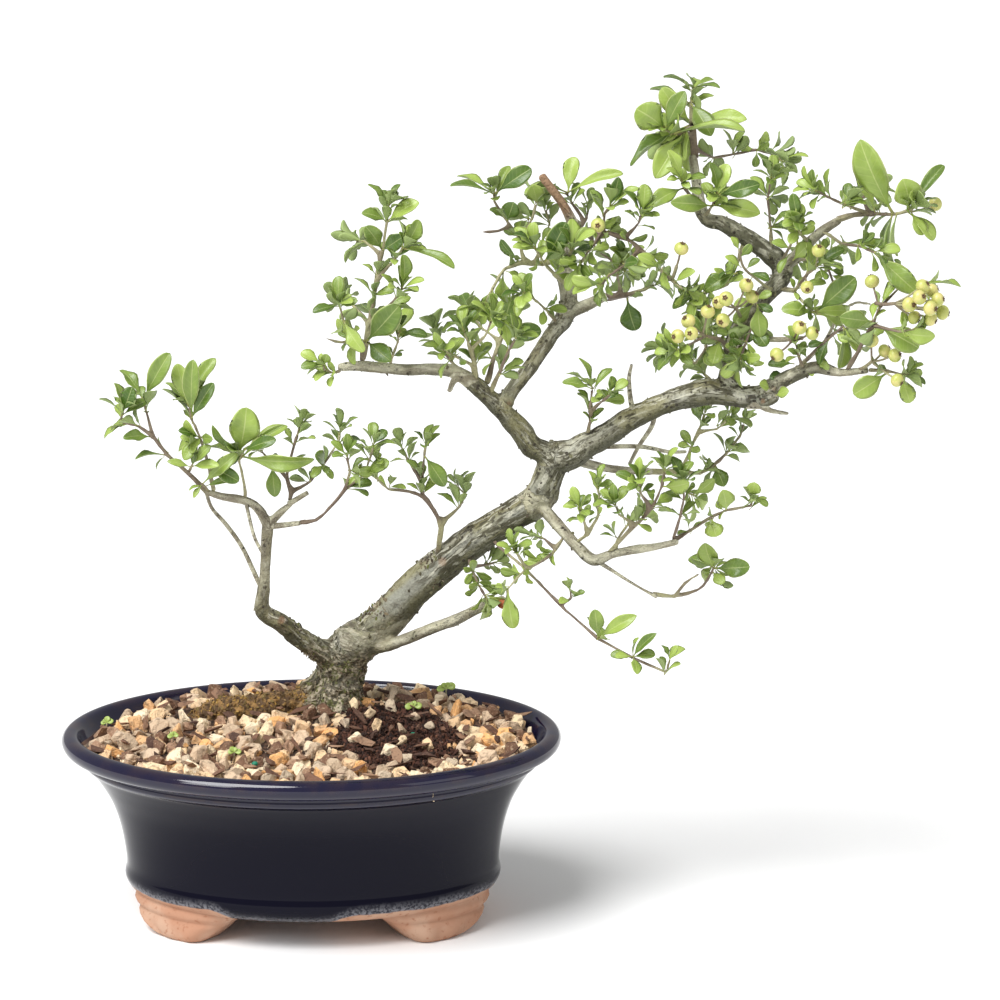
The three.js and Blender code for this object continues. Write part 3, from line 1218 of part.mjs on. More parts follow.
SPRAYS.forEach((spray, i) => {
  const places = placesBySpray[i];
  for (const spot of places) {
    const beside = places.filter((other) => other.twigIndex === spot.twigIndex && other.ring === spot.ring);
    const most = Math.min(spot.most, spot.atTip ? MOST_LEAVES_AT_TIP : MOST_LEAVES_ALONG);
    for (let attempt = 0; attempt < LEAF_TRIES; attempt++) {
      if (spot.leaf || beside.filter((other) => other.leaf).length >= most) break;
      const leaf = grownLeaf(spot, attempt);
      if (leaf && leafIsClear(leaf, spray.name)) putLeaf(spray, spot, leaf);
    }
  }
  spray.twigs.forEach((twig, twigIndex) => {
    const leafy = places.filter((spot) => spot.leaf && spot.twigIndex === twigIndex);
    const leaves = leafy.map(({ ring, side, leaf }) => ({ ring, side, ...leaf }));
    sprayParts[i].push(leafyTwigSolid(twig, rootRadiusOf(spray, twigIndex), leaves));
  });
});

addMesh('pot', potSolid(), glaze);
addMesh('drain_screen_left', screenSolid(-DRAIN_X), plastic);
addMesh('drain_screen_right', screenSolid(DRAIN_X), plastic);
addMesh('soil', soil, earth);
addMesh('gravel', gravel, stone);
addMesh('trunk_and_branches', wood, bark);
SPRAYS.forEach((spray, i) => {
  const whole = wasm.Manifold.union(sprayParts[i]).subtract(woodAndGap);
  addMesh(`shoot_${spray.name}`, largestBody(whole), foliage);
});
BUNCHES.forEach((bunch, i) => addMesh(`berries_${bunch.name}`, bunches[i], fruit));

// The origin is the bottom middle of the whole
const bounds = new THREE.Box3().setFromObject(group);
group.position.set(-(bounds.min.x + bounds.max.x) / 2, -(bounds.min.y + bounds.max.y) / 2, -bounds.min.z);
group.updateMatrixWorld(true);

export default group;
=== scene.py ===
"""The looks of a firethorn bonsai in its glazed oval pot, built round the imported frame."""

import json
import logging
import math
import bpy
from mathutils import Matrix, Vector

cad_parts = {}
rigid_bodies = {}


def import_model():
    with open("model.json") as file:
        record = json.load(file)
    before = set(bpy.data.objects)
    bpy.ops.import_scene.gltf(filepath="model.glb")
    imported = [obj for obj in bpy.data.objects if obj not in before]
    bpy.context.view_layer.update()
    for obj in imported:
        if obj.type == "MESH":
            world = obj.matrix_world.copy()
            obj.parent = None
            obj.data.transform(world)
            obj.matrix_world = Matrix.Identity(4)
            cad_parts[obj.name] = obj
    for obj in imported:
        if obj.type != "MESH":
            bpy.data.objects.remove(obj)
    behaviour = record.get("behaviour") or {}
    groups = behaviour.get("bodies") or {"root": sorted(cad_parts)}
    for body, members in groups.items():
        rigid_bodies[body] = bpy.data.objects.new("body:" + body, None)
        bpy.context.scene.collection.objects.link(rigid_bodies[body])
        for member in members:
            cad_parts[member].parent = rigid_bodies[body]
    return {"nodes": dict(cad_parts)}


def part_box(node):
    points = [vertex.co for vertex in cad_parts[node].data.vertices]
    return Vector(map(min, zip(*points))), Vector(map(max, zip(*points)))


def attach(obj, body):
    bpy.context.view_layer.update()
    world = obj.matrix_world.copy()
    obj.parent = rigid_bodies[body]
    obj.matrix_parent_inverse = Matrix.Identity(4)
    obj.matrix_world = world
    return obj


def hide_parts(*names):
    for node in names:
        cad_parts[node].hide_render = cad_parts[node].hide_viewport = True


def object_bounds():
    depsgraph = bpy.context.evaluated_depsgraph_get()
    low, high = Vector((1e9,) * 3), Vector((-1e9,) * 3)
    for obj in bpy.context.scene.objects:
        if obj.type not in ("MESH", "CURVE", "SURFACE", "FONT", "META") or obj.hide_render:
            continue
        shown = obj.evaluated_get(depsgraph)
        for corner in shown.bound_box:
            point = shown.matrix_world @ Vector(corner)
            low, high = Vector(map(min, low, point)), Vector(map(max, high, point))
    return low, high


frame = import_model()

import zlib
from collections.abc import Callable, Sequence
from dataclasses import dataclass, field
from enum import Enum

import bmesh
import bpy
import numpy as np
from bmesh.types import BMVert
from bpy.types import Material, Mesh, Node, NodeSocket, NodeTree, Object
from mathutils import Matrix, Quaternion, Vector, noise
from mathutils.bvhtree import BVHTree
from mathutils.kdtree import KDTree

LOG = logging.getLogger("bonsai")
CAD_BOX = [list(corner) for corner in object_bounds()]
MM = 0.001
POT_LOW, POT_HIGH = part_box("pot")
POT_X = (POT_LOW.x + POT_HIGH.x) / 2
Point = Sequence[float]
Colour = tuple[float, float, float]
Place = tuple[float, float, float]


def row(point: Point) -> Vector:
    """Turns a point from the pot's middle, in millimetres, to the row frame, in metres."""
    return Vector((point[0] * MM + POT_X, point[1] * MM, point[2] * MM))


def smooth_step(low: float, high: float, value: float) -> float:
    """Eases from 0 at low to 1 at high.

    Args:
        low: Where the step starts.
        high: Where it ends.
        value: The place to read.

    Returns:
        The eased share, from 0 to 1.
    """
    share = min(max((value - low) / (high - low), 0.0), 1.0)
    return share * share * (3 - 2 * share)


def turns(count: int) -> list[float]:
    """Lists equal turns round a circle, in radians."""
    return [2 * math.pi * k / count for k in range(count)]


def store(mesh: Mesh, name: str, kind: str, values: Sequence, domain: str = "POINT") -> None:
    """Writes an attribute of a mesh.

    Args:
        mesh: The mesh.
        name: The attribute's name.
        kind: Its data type.
        values: Its numbers, one row after the other.
        domain: What bears them.
    """
    key = "vector" if kind == "FLOAT_VECTOR" else "value"
    mesh.attributes.new(name, kind, domain).data.foreach_set(key, values)


# Node sheets and finishes


class Sheet:
    """Adds and joins the nodes of one tree."""

    def __init__(self, tree: NodeTree) -> None:
        """Takes the tree and empties it."""
        self.tree = tree
        tree.nodes.clear()

    def add(self, kind: str, inputs: dict | None = None, **settings: object) -> Node:
        """Adds a node.

        Args:
            kind: The node's type name.
            inputs: Values or sockets by input name or number.
            **settings: The node's own properties.

        Returns:
            The new node.
        """
        made = self.tree.nodes.new(kind)
        for name, value in settings.items():
            setattr(made, name, value)
        for key, value in (inputs or {}).items():
            if isinstance(value, NodeSocket):
                self.tree.links.new(value, made.inputs[key])
            else:
                made.inputs[key].default_value = value
        return made

    def math(self, operation: str, first: object, second: object = 0.0) -> NodeSocket:
        """Adds a Math node and returns its result."""
        return self.add("ShaderNodeMath", {0: first, 1: second}, operation=operation).outputs[0]

    def times(self, first: object, second: object) -> NodeSocket:
        """Multiplies two numbers."""
        return self.math("MULTIPLY", first, second)

    def plus(self, first: object, second: object) -> NodeSocket:
        """Adds two numbers."""
        return self.math("ADD", first, second)

    def minus(self, first: object, second: object) -> NodeSocket:
        """Takes the second number from the first."""
        return self.math("SUBTRACT", first, second)

    def place(self) -> NodeSocket:
        """Reads the object's own coordinates."""
        return self.add("ShaderNodeTexCoord").outputs["Object"]

    def held(self, name: str, kind: str) -> NodeSocket:
        """Reads a value of a kind that the points or faces hold, in a Geometry Nodes tree."""
        return self.add("GeometryNodeInputNamedAttribute", {0: name}, data_type=kind).outputs[0]

    def mix(self, share: object, low: object, high: object) -> NodeSocket:
        """Mixes two colours by a share.

        Args:
            share: A number or a socket from 0 to 1.
            low: The colour at 0.
            high: The colour at 1.

        Returns:
            The mixed colour's socket.
        """
        made = self.add("ShaderNodeMix", {0: share}, data_type="RGBA")
        for index, value in ((6, low), (7, high)):
            if isinstance(value, NodeSocket):
                self.tree.links.new(value, made.inputs[index])
            else:
                made.inputs[index].default_value = (*value, 1.0)
        return made.outputs[2]

    def step(self, value: object, low: float, high: float) -> NodeSocket:
        """Eases a number from 0 to 1 between two values, or from 1 to 0 where low is above high."""
        made = self.add("ShaderNodeMapRange", {0: value, 1: low, 2: high}, interpolation_type="SMOOTHSTEP")
        return made.outputs[0]

    def noise(self, place: object, scale: float, detail: float = 3.0) -> NodeSocket:
        """Reads a noise pattern of a scale in cycles for each metre."""
        return self.add("ShaderNodeTexNoise", {"Vector": place, "Scale": scale, "Detail": detail}).outputs[0]

    def ramp(
        self, value: object, stops: Sequence[tuple[float, Colour]], kind: str = "LINEAR"
    ) -> NodeSocket:
        """Reads a colour from a ramp.

        Args:
            value: The place on the ramp.
            stops: Places and their colours.
            kind: How the ramp goes from one colour to the next.

        Returns:
            The colour's socket.
        """
        made = self.add("ShaderNodeValToRGB", {0: value})
        band = made.color_ramp
        band.interpolation = kind
        while len(band.elements) < len(stops):
            band.elements.new(0.5)
        for element, (place, colour) in zip(band.elements, stops, strict=True):
            element.position = place
            element.color = (*colour, 1.0)
        return made.outputs[0]

    def attribute(self, name: str) -> NodeSocket:
        """Reads a number that the mesh holds."""
        return self.add("ShaderNodeAttribute", attribute_name=name).outputs["Fac"]


class Coat(Sheet):
    """The nodes of one material round its Principled shader."""

    def __init__(self, tree: NodeTree) -> None:
        """Takes the tree, and adds the shader and the output."""
        super().__init__(tree)
        self.shader = self.add("ShaderNodeBsdfPrincipled")
        self.add("ShaderNodeOutputMaterial", {0: self.shader.outputs[0]})

    def wear(
        self, colour: object, roughness: object, height: object = None, bump: float = 0.3,
        depth: float = 0.001,
    ) -> None:
        """Joins colour, roughness and bump to the shader.

        Args:
            colour: The colour's socket.
            roughness: The roughness, a number or a socket.
            height: The socket that the bump reads.
            bump: The bump's strength.
            depth: The bump's depth in metres.
        """
        self.tree.links.new(colour, self.shader.inputs["Base Color"])
        if isinstance(roughness, NodeSocket):
            self.tree.links.new(roughness, self.shader.inputs["Roughness"])
        else:
            self.shader.inputs["Roughness"].default_value = roughness
        if height is not None:
            made = self.add("ShaderNodeBump", {"Strength": bump, "Distance": depth, "Height": height})
            self.tree.links.new(made.outputs[0], self.shader.inputs["Normal"])


@dataclass(frozen=True)
class Finish:
    """A finish that dresses a piece. The subclasses paint it."""

    name: str

    def material(self) -> Material:
        """Makes the finish's material once, and returns it after that."""
        made = bpy.data.materials.get(self.name)
        if made:
            return made
        made = bpy.data.materials.new(self.name)
        made.use_nodes = True
        self.paint(Coat(made.node_tree))
        return made

    def paint(self, sheet: Coat) -> None:
        """Sets the shader's colour, roughness and bump.

        Args:
            sheet: The material's nodes.
        """
        raise NotImplementedError


@dataclass(frozen=True)
class GlazeFinish(Finish):
    """A dark glossy glaze that thins on the edges and stops short of the bare clay feet."""

    glaze: Colour = (0.0028, 0.0026, 0.009)
    thin: Colour = (0.07, 0.03, 0.018)
    milky: Colour = (0.2, 0.2, 0.22)
    clay: Colour = (0.44, 0.235, 0.15)
    shine: float = 0.13
    high_edge: float = 0.0183
    low_edge: float = 0.0135

    def edge(self, sheet: Sheet, place: NodeSocket) -> NodeSocket:
        """Gives the height where the glaze ends: high over the feet and ends, low on a stretch between them.

        Args:
            sheet: The material's nodes.
            place: The object's coordinates.

        Returns:
            The edge's height.
        """
        x = sheet.add("ShaderNodeSeparateXYZ", {0: place}).outputs[0]
        far = sheet.math("ABSOLUTE", sheet.minus(x, POT_X - 0.012))
        rise = sheet.times(sheet.step(far, 0.018, 0.034), self.high_edge - self.low_edge)
        wave = sheet.times(sheet.minus(sheet.noise(place, 55.0, 3.0), 0.5), 0.0045)
        return sheet.plus(sheet.plus(rise, wave), self.low_edge)

    def paint(self, sheet: Coat) -> None:
        """Lays the glaze by height, with a wavy and milky lower edge."""
        place = sheet.place()
        height = sheet.add("ShaderNodeSeparateXYZ", {0: place}).outputs[2]
        above = sheet.minus(height, self.edge(sheet, place))
        fleck = sheet.noise(place, 420.0, 4.0)
        clay = sheet.mix(sheet.step(sheet.noise(place, 60.0), 0.35, 0.7), self.clay, (0.5, 0.32, 0.225))
        clay = sheet.mix(sheet.step(fleck, 0.55, 0.75), clay, (0.36, 0.17, 0.1))
        bands = [
            (0.0, 0.0), (0.846, 0.0), (0.8565, 0.5), (0.869, 0.0), (0.938, 0.05), (0.957, 0.3), (0.973, 0.1),
            (0.99, 0.2), (1.0, 0.4),
        ]
        edge = sheet.ramp(sheet.math("DIVIDE", height, 0.092), [(z, (v, v, v)) for z, v in bands])
        worn = sheet.times(edge, sheet.step(sheet.noise(place, 90.0, 5.0), 0.4, 0.62))
        glaze = sheet.mix(worn, self.glaze, self.thin)
        speckle = sheet.step(sheet.noise(place, 700.0, 3.0), 0.38, 0.62)
        milk = sheet.times(sheet.step(above, 0.0058, 0.0), sheet.plus(speckle, 0.25))
        glaze = sheet.mix(sheet.times(milk, 0.75), glaze, self.milky)
        bare = sheet.step(above, 0.0006, -0.0002)
        colour = sheet.mix(bare, glaze, clay)
        rough = sheet.plus(sheet.times(bare, 0.7), 0.08)
        ripple = sheet.times(sheet.noise(place, 35.0, 2.0), 0.35)
        grain = sheet.times(sheet.times(fleck, bare), 0.6)
        sheet.wear(colour, rough, sheet.plus(ripple, grain), 0.12, 0.002)
        sheet.shader.inputs["Specular IOR Level"].default_value = self.shine


@dataclass(frozen=True)
class GravelFinish(Finish):
    """Loose grains of many earth tones."""

    tones: tuple[Colour, ...] = (
        (0.8, 0.54, 0.31), (0.9, 0.7, 0.45), (0.55, 0.41, 0.28), (0.86, 0.46, 0.18),
        (0.68, 0.5, 0.34), (0.2, 0.105, 0.062), (0.86, 0.61, 0.36), (0.58, 0.46, 0.33),
        (0.36, 0.21, 0.13), (0.88, 0.65, 0.41), (0.76, 0.45, 0.22), (0.66, 0.5, 0.35), (0.93, 0.76, 0.53),
    )
    pit: Colour = (0.1, 0.055, 0.03)
    dust: Colour = (0.86, 0.69, 0.46)

    def paint(self, sheet: Coat) -> None:
        """Gives each grain its tone, with mottling and dust."""
        place = sheet.place()
        count = len(self.tones)
        stops = [(i / count, tone) for i, tone in enumerate(self.tones)]
        tone = sheet.ramp(sheet.attribute("tone"), stops, "CONSTANT")
        mottle = sheet.noise(place, 380.0, 5.0)
        pits = sheet.times(sheet.step(mottle, 0.5, 0.68), 0.6)
        colour = sheet.mix(pits, tone, self.pit)
        pale = sheet.times(sheet.step(sheet.noise(place, 900.0, 3.0), 0.54, 0.72), 0.4)
        colour = sheet.mix(pale, colour, self.dust)
        height = sheet.plus(mottle, sheet.times(sheet.noise(place, 1500.0, 3.0), 0.5))
        sheet.wear(colour, 0.88, height, 0.9, 0.0014)


@dataclass(frozen=True)
class EarthFinish(Finish):
    """Damp crumbly soil, or dark bark crumbs whose darkness is partly painted shade in the gaps between
    grains.
    """

    dark: Colour = (0.022, 0.012, 0.008)
    light: Colour = (0.13, 0.068, 0.042)

    def paint(self, sheet: Coat) -> None:
        """Mottles the soil."""
        place = sheet.place()
        crumb = sheet.noise(place, 500.0, 6.0)
        colour = sheet.mix(sheet.step(crumb, 0.4, 0.65), self.dark, self.light)
        sheet.wear(colour, 0.92, crumb, 0.8, 0.002)


@dataclass(frozen=True)
class PlasticFinish(Finish):
    """Moulded black mesh plastic."""

    def paint(self, sheet: Coat) -> None:
        """Gives the plastic a fine moulded grain."""
        place = sheet.place()
        grain = sheet.noise(place, 2500.0, 2.0)
        colour = sheet.mix(grain, (0.012, 0.012, 0.013), (0.03, 0.03, 0.032))
        sheet.wear(colour, 0.5, grain, 0.2, 0.0003)


@dataclass(frozen=True)
class BarkFinish(Finish):
    """Grey bark with algae, lenticels, pale streaks made paler on upper sides as painted highlight,
    undersides and cracks darkened partly as painted shade, pale scars and a mossy foot.
    """

    grey: Colour = (0.35, 0.335, 0.245)
    dark: Colour = (0.08, 0.072, 0.042)
    pale: Colour = (0.72, 0.7, 0.57)
    algae: Colour = (0.29, 0.265, 0.11)
    # The undersides' colour: damp bark, darkened further as painted shade.
    below: Colour = (0.05, 0.05, 0.022)
    moss: Colour = (0.085, 0.064, 0.036)
    lichen: Colour = (0.14, 0.15, 0.035)
    young: Colour = (0.3, 0.265, 0.19)
    cream: Colour = (0.62, 0.595, 0.44)
    root: Colour = (0.32, 0.18, 0.06)
    scar: Colour = (0.36, 0.21, 0.12)
    stripe: Colour = (0.33, 0.335, 0.3)
    ridge: Colour = (0.15, 0.125, 0.06)

    def paint(self, sheet: Coat) -> None:
        """Lays bark, algae, lenticels, cracks, moss and scars."""
        mix, step, times, plus, minus = sheet.mix, sheet.step, sheet.times, sheet.plus, sheet.minus
        place = sheet.place()
        along = sheet.add("ShaderNodeAttribute", attribute_name="grain").outputs["Vector"]
        fine = sheet.noise(place, 900.0, 6.0)
        middling = sheet.noise(place, 260.0, 6.0)
        streak = sheet.noise(along, 330.0, 5.0)
        girth, lie = sheet.attribute("girth"), sheet.attribute("lie")
        colour = mix(step(fine, 0.38, 0.56), self.dark, self.grey)
        # Pale streaks in the bark, made paler on faces that look up: that extra paleness on top is a painted
        # highlight.
        pale_streak_and_highlight = step(sheet.noise(along, 130.0, 4.0), 0.46, 0.6)
        pale_streak_and_highlight = times(pale_streak_and_highlight, plus(times(lie, 0.3), 0.62))
        colour = mix(pale_streak_and_highlight, colour, self.pale)
        busy = step(sheet.noise(place, 32.0, 3.0), 0.33, 0.5)
        green = times(step(sheet.noise(place, 42.0, 6.0), 0.43, 0.54), 0.65)
        colour = mix(green, colour, self.algae)
        thick = step(girth, 0.3, 0.45)
        front = times(step(lie, -0.35, -0.05), step(lie, 0.6, 0.3))
        stripe = times(step(sheet.noise(along, 26.0, 2.0), 0.44, 0.54), front)
        stripe = times(times(stripe, thick), 0.75)
        colour = mix(stripe, colour, self.stripe)
        ridge = times(step(lie, 0.4, 0.8), step(sheet.noise(place, 90.0, 4.0), 0.4, 0.56))
        ridge = times(times(ridge, thick), 0.8)
        colour = mix(ridge, colour, self.ridge)
        dim = times(step(streak, 0.5, 0.58), plus(times(busy, 0.8), 0.14))
        colour = mix(dim, colour, self.dark)
        crack = times(step(streak, 0.44, 0.38), step(middling, 0.44, 0.54))
        crack = times(crack, busy)
        fibre = sheet.noise(along, 640.0, 4.0)
        crust = times(times(step(fibre, 0.55, 0.61), busy), 0.7)
        colour = mix(crust, colour, self.pale)
        # The cracks turn dark: partly their own dark bark, partly painted shade in the crevice.
        colour = mix(times(crack, 0.85), colour, (0.045, 0.036, 0.02))
        shade = times(sheet.attribute("shade"), step(middling, 0.35, 0.6))
        colour = mix(shade, colour, (0.1, 0.098, 0.055))
        soft = mix(step(sheet.noise(along, 220.0, 4.0), 0.42, 0.58), self.young, self.cream)
        colour = mix(times(step(girth, 0.32, 0.14), 0.8), colour, soft)
        # Darker undersides on the thicker wood: partly damp bark and algae, partly painted shade on faces
        # that look down.
        damp = times(step(lie, 0.3, -0.65), step(girth, 0.12, 0.25))
        colour = mix(times(damp, 0.85), colour, self.below)
        cell = sheet.add("ShaderNodeTexVoronoi", {"Vector": place, "Scale": 300.0, "Randomness": 1.0})
        spot = times(step(cell.outputs["Distance"], 0.27, 0.14), step(middling, 0.47, 0.53))
        spot = times(spot, plus(times(busy, 0.85), 0.15))
        colour = mix(times(spot, 0.85), colour, (0.045, 0.034, 0.022))
        tuft = mix(step(middling, 0.48, 0.56), self.moss, self.lichen)
        tuft = mix(times(step(fibre, 0.49, 0.57), 0.85), tuft, (0.58, 0.5, 0.36))
        tuft = mix(times(step(fibre, 0.44, 0.38), 0.85), tuft, (0.035, 0.027, 0.015))
        colour = mix(sheet.attribute("moss"), colour, tuft)
        rooty = mix(step(middling, 0.42, 0.6), (0.1, 0.055, 0.024), self.root)
        colour = mix(sheet.attribute("root"), colour, rooty)
        colour = mix(sheet.attribute("scar"), colour, self.scar)
        height = plus(times(fine, 0.5), middling)
        height = plus(height, times(spot, 0.4))
        height = minus(height, times(crack, 0.5))
        sheet.wear(colour, 0.8, height, 1.0, 0.0022)


@dataclass(frozen=True)
class TwigFinish(Finish):
    """This year's thin wood, from red-brown to pale yellow-green."""

    wood: Colour = (0.19, 0.14, 0.1)
    green: Colour = (0.38, 0.36, 0.2)

    def paint(self, sheet: Coat) -> None:
        """Mottles the twig."""
        place = sheet.place()
        colour = sheet.mix(sheet.step(sheet.noise(place, 28.0, 3.0), 0.42, 0.58), self.wood, self.green)
        fine = sheet.noise(place, 900.0, 4.0)
        colour = sheet.mix(sheet.times(sheet.step(fine, 0.5, 0.7), 0.5), colour, (0.08, 0.06, 0.04))
        sheet.wear(colour, 0.6, fine, 0.4, 0.0006)


@dataclass(frozen=True)
class LeafFinish(Finish):
    """A semi-gloss leaf with a pale midrib and margin, fine side veins and a paler underside."""

    old: Colour = (0.052, 0.112, 0.01)
    fresh: Colour = (0.33, 0.44, 0.088)
    pale: Colour = (0.6, 0.65, 0.28)
    under: Colour = (0.28, 0.36, 0.14)

    def paint(self, sheet: Coat) -> None:
        """Draws the leaf on its own map: across in u, along in v, the underside 2 further on."""
        mix, step, times, plus, minus = sheet.mix, sheet.step, sheet.times, sheet.plus, sheet.minus
        sides = sheet.add("ShaderNodeUVMap", uv_map="leaf").outputs[0]
        split = sheet.add("ShaderNodeSeparateXYZ", {0: sides})
        across = times(sheet.math("ABSOLUTE", minus(split.outputs[0], 0.5)), 2.0)
        below = sheet.math("GREATER_THAN", split.outputs[1], 1.5)
        along = minus(split.outputs[1], times(below, 2.0))
        place = sheet.place()
        blot = sheet.noise(place, 140.0, 3.0)
        tone = plus(sheet.attribute("tone"), times(minus(blot, 0.5), 0.5))
        colour = mix(step(tone, -0.1, 0.92), self.old, self.fresh)
        slant = plus(along, times(across, -0.16))
        vein = sheet.math("SINE", times(slant, 62.0))
        vein = times(step(vein, 0.72, 1.0), step(across, 0.98, 0.6))
        colour = mix(times(vein, 0.06), colour, self.pale)
        rib = step(across, 0.07, 0.015)
        edge = step(across, 0.87, 0.95)
        light = sheet.math("MAXIMUM", times(rib, 0.36), times(edge, 0.62))
        colour = mix(light, colour, self.pale)
        colour = mix(times(below, 0.75), colour, self.under)
        stalk = step(along, 0.13, 0.08)
        colour = mix(stalk, colour, (0.36, 0.36, 0.12))
        rough = plus(times(below, 0.25), 0.33)
        height = plus(times(rib, -0.8), times(vein, -0.3))
        sheet.wear(colour, rough, height, 0.25, 0.0006)


@dataclass(frozen=True)
class BerryFinish(Finish):
    """An unripe yellow-green berry with a brown five-pointed calyx."""

    skin: Colour = (0.47, 0.5, 0.13)
    blush: Colour = (0.64, 0.57, 0.21)
    calyx: Colour = (0.13, 0.07, 0.03)

    def paint(self, sheet: Coat) -> None:
        """Mottles the skin and darkens the calyx."""
        place = sheet.place()
        colour = sheet.mix(sheet.step(sheet.noise(place, 190.0), 0.42, 0.66), self.skin, self.blush)
        dots = sheet.step(sheet.noise(place, 1300.0), 0.62, 0.72)
        colour = sheet.mix(sheet.times(dots, 0.35), colour, (0.3, 0.32, 0.08))
        colour = sheet.mix(sheet.attribute("calyx"), colour, self.calyx)
        sheet.wear(colour, 0.33, dots, 0.05, 0.0004)


@dataclass(frozen=True)
class BeadFinish(Finish):
    """A blue-green feed granule."""

    def paint(self, sheet: Coat) -> None:
        """Speckles the granule."""
        place = sheet.place()
        grain = sheet.noise(place, 1200.0)
        colour = sheet.mix(grain, (0.0, 0.09, 0.05), (0.01, 0.3, 0.17))
        sheet.wear(colour, 0.5, grain, 0.3, 0.0004)


@dataclass(frozen=True)
class FloorFinish(Finish):
    """A plain pale floor."""

    def paint(self, sheet: Coat) -> None:
        """Gives the floor a faint tone."""
        place = sheet.place()
        colour = sheet.mix(sheet.noise(place, 1.5), (0.93, 0.93, 0.93), (0.95, 0.95, 0.95))
        sheet.wear(colour, 0.9)


GLAZE = GlazeFinish("glaze_over_clay")
RIM_GLAZE = GlazeFinish("glaze_on_the_rim", (0.006, 0.005, 0.024), (0.055, 0.03, 0.024), shine=0.5)
GRAVEL = GravelFinish("gravel_grains")
CRUMB = EarthFinish("bark_crumbs")
SOIL = EarthFinish("damp_soil", (0.012, 0.008, 0.005), (0.06, 0.036, 0.022))
PLASTIC = PlasticFinish("screen_plastic")
BARK = BarkFinish("old_bark")
CHIP = GravelFinish("bark_chip_slabs", (
    (0.2, 0.1, 0.06), (0.11, 0.052, 0.032), (0.27, 0.15, 0.09), (0.15, 0.073, 0.044), (0.08, 0.038, 0.025),
    (0.33, 0.195, 0.12),
), (0.04, 0.02, 0.013), (0.33, 0.22, 0.15))
CRUMBLE = GravelFinish("wet_bark_crumble", (
    (0.06, 0.02, 0.011), (0.034, 0.013, 0.008), (0.1, 0.036, 0.019), (0.022, 0.009, 0.006),
    (0.15, 0.062, 0.035), (0.05, 0.018, 0.01), (0.08, 0.028, 0.016),
), (0.012, 0.005, 0.004), (0.18, 0.08, 0.046))
FLAKE = GravelFinish("mossy_flakes", (
    (0.08, 0.056, 0.032), (0.13, 0.14, 0.035), (0.38, 0.32, 0.22), (0.12, 0.086, 0.05), (0.22, 0.175, 0.105),
    (0.055, 0.039, 0.022), (0.18, 0.19, 0.055), (0.5, 0.44, 0.33), (0.14, 0.1, 0.06), (0.27, 0.215, 0.135),
), (0.04, 0.028, 0.016), (0.52, 0.46, 0.36))
ROOT_MOSS = GravelFinish("root_moss", (
    (0.12, 0.068, 0.028), (0.26, 0.15, 0.045), (0.16, 0.1, 0.035), (0.36, 0.21, 0.05), (0.08, 0.048, 0.022),
    (0.28, 0.18, 0.08), (0.19, 0.13, 0.04), (0.42, 0.25, 0.06),
), (0.06, 0.035, 0.016), (0.45, 0.3, 0.14))
SPUR = GravelFinish("bark_spurs", (
    (0.13, 0.115, 0.065), (0.2, 0.19, 0.105), (0.08, 0.065, 0.04), (0.3, 0.29, 0.2),
), (0.05, 0.04, 0.025), (0.45, 0.43, 0.32))
TWIG = TwigFinish("young_twig")
LEAF = LeafFinish("firethorn_leaf")
BERRY = BerryFinish("unripe_berry")
BEAD = BeadFinish("feed_bead")
BUD = EarthFinish("bud_scales", (0.16, 0.035, 0.012), (0.42, 0.13, 0.05))
FLOOR = FloorFinish("pale_floor")


def dress(piece: Object, *finishes: Finish) -> None:
    """Gives a piece its finishes.

    Args:
        piece: The piece.
        *finishes: Its finishes, in the order of the faces' material numbers.
    """
    piece.data.materials.clear()
    for finish in finishes:
        piece.data.materials.append(finish.material())


# Meshes


class End(Enum):
    """How a stem ends."""

    ROUND = "round"
    CUT = "cut"


class Shell:
    """Corners and faces of a mesh in the making, in metres."""

    def __init__(self) -> None:
        """Starts with nothing."""
        self.corners: list[Vector] = []
        self.faces: list[tuple[int, ...]] = []

    def rings(self, rings: Sequence[Sequence[Vector]], closed: bool = True) -> int:
        """Joins rings of equally many corners by quads, and caps both ends.

        Args:
            rings: The rings in order.
            closed: Whether the two ends get caps.

        Returns:
            The number of the first corner.
        """
        first, count = len(self.corners), len(rings[0])
        for ring in rings:
            self.corners.extend(ring)
        for i in range(len(rings) - 1):
            for k in range(count):
                a, b = first + i * count + k, first + i * count + (k + 1) % count
                self.faces.append((a, b, b + count, a + count))
        if closed:
            last = first + (len(rings) - 1) * count
            self.faces.append(tuple(first + k for k in reversed(range(count))))
            self.faces.append(tuple(last + k for k in range(count)))
        return first

    def stem(self, path: Sequence[Vector], radii: Sequence[float], sides: int, end: End = End.ROUND) -> None:
        """Adds a tapering round stem along a path.

        Args:
            path: The centre line's points.
            radii: The radius at each point.
            sides: Corners round the stem.
            end: How the far end is closed.
        """
        points = [Vector(p) for p in path]
        sizes = list(radii)
        if end is End.ROUND:
            step = (points[-1] - points[-2]).normalized()
            tip, size = points[-1], sizes[-1]
            points += [tip + step * size * 0.55, tip + step * size * 0.85]
            sizes += [size * 0.8, size * 0.35]
        across = (points[1] - points[0]).orthogonal().normalized()
        rings = []
        for i, point in enumerate(points):
            along = (points[min(i + 1, len(points) - 1)] - points[max(i - 1, 0)]).normalized()
            across = (across - along * across.dot(along)).normalized()
            beside = along.cross(across)
            rings.append([point + (across * math.cos(t) + beside * math.sin(t)) * sizes[i]
                          for t in turns(sides)])
        self.rings(rings)

    def mesh(self, name: str) -> Mesh:
        """Makes the mesh, with doubles merged and faces turned outwards."""
        made = bpy.data.meshes.new(name)
        made.from_pydata([tuple(c) for c in self.corners], [], self.faces)
        work = bmesh.new()
        work.from_mesh(made)
        bmesh.ops.remove_doubles(work, verts=work.verts, dist=1e-6)
        bmesh.ops.recalc_face_normals(work, faces=work.faces)
        for face in work.faces:
            face.smooth = True
        work.to_mesh(made)
        work.free()
        return made


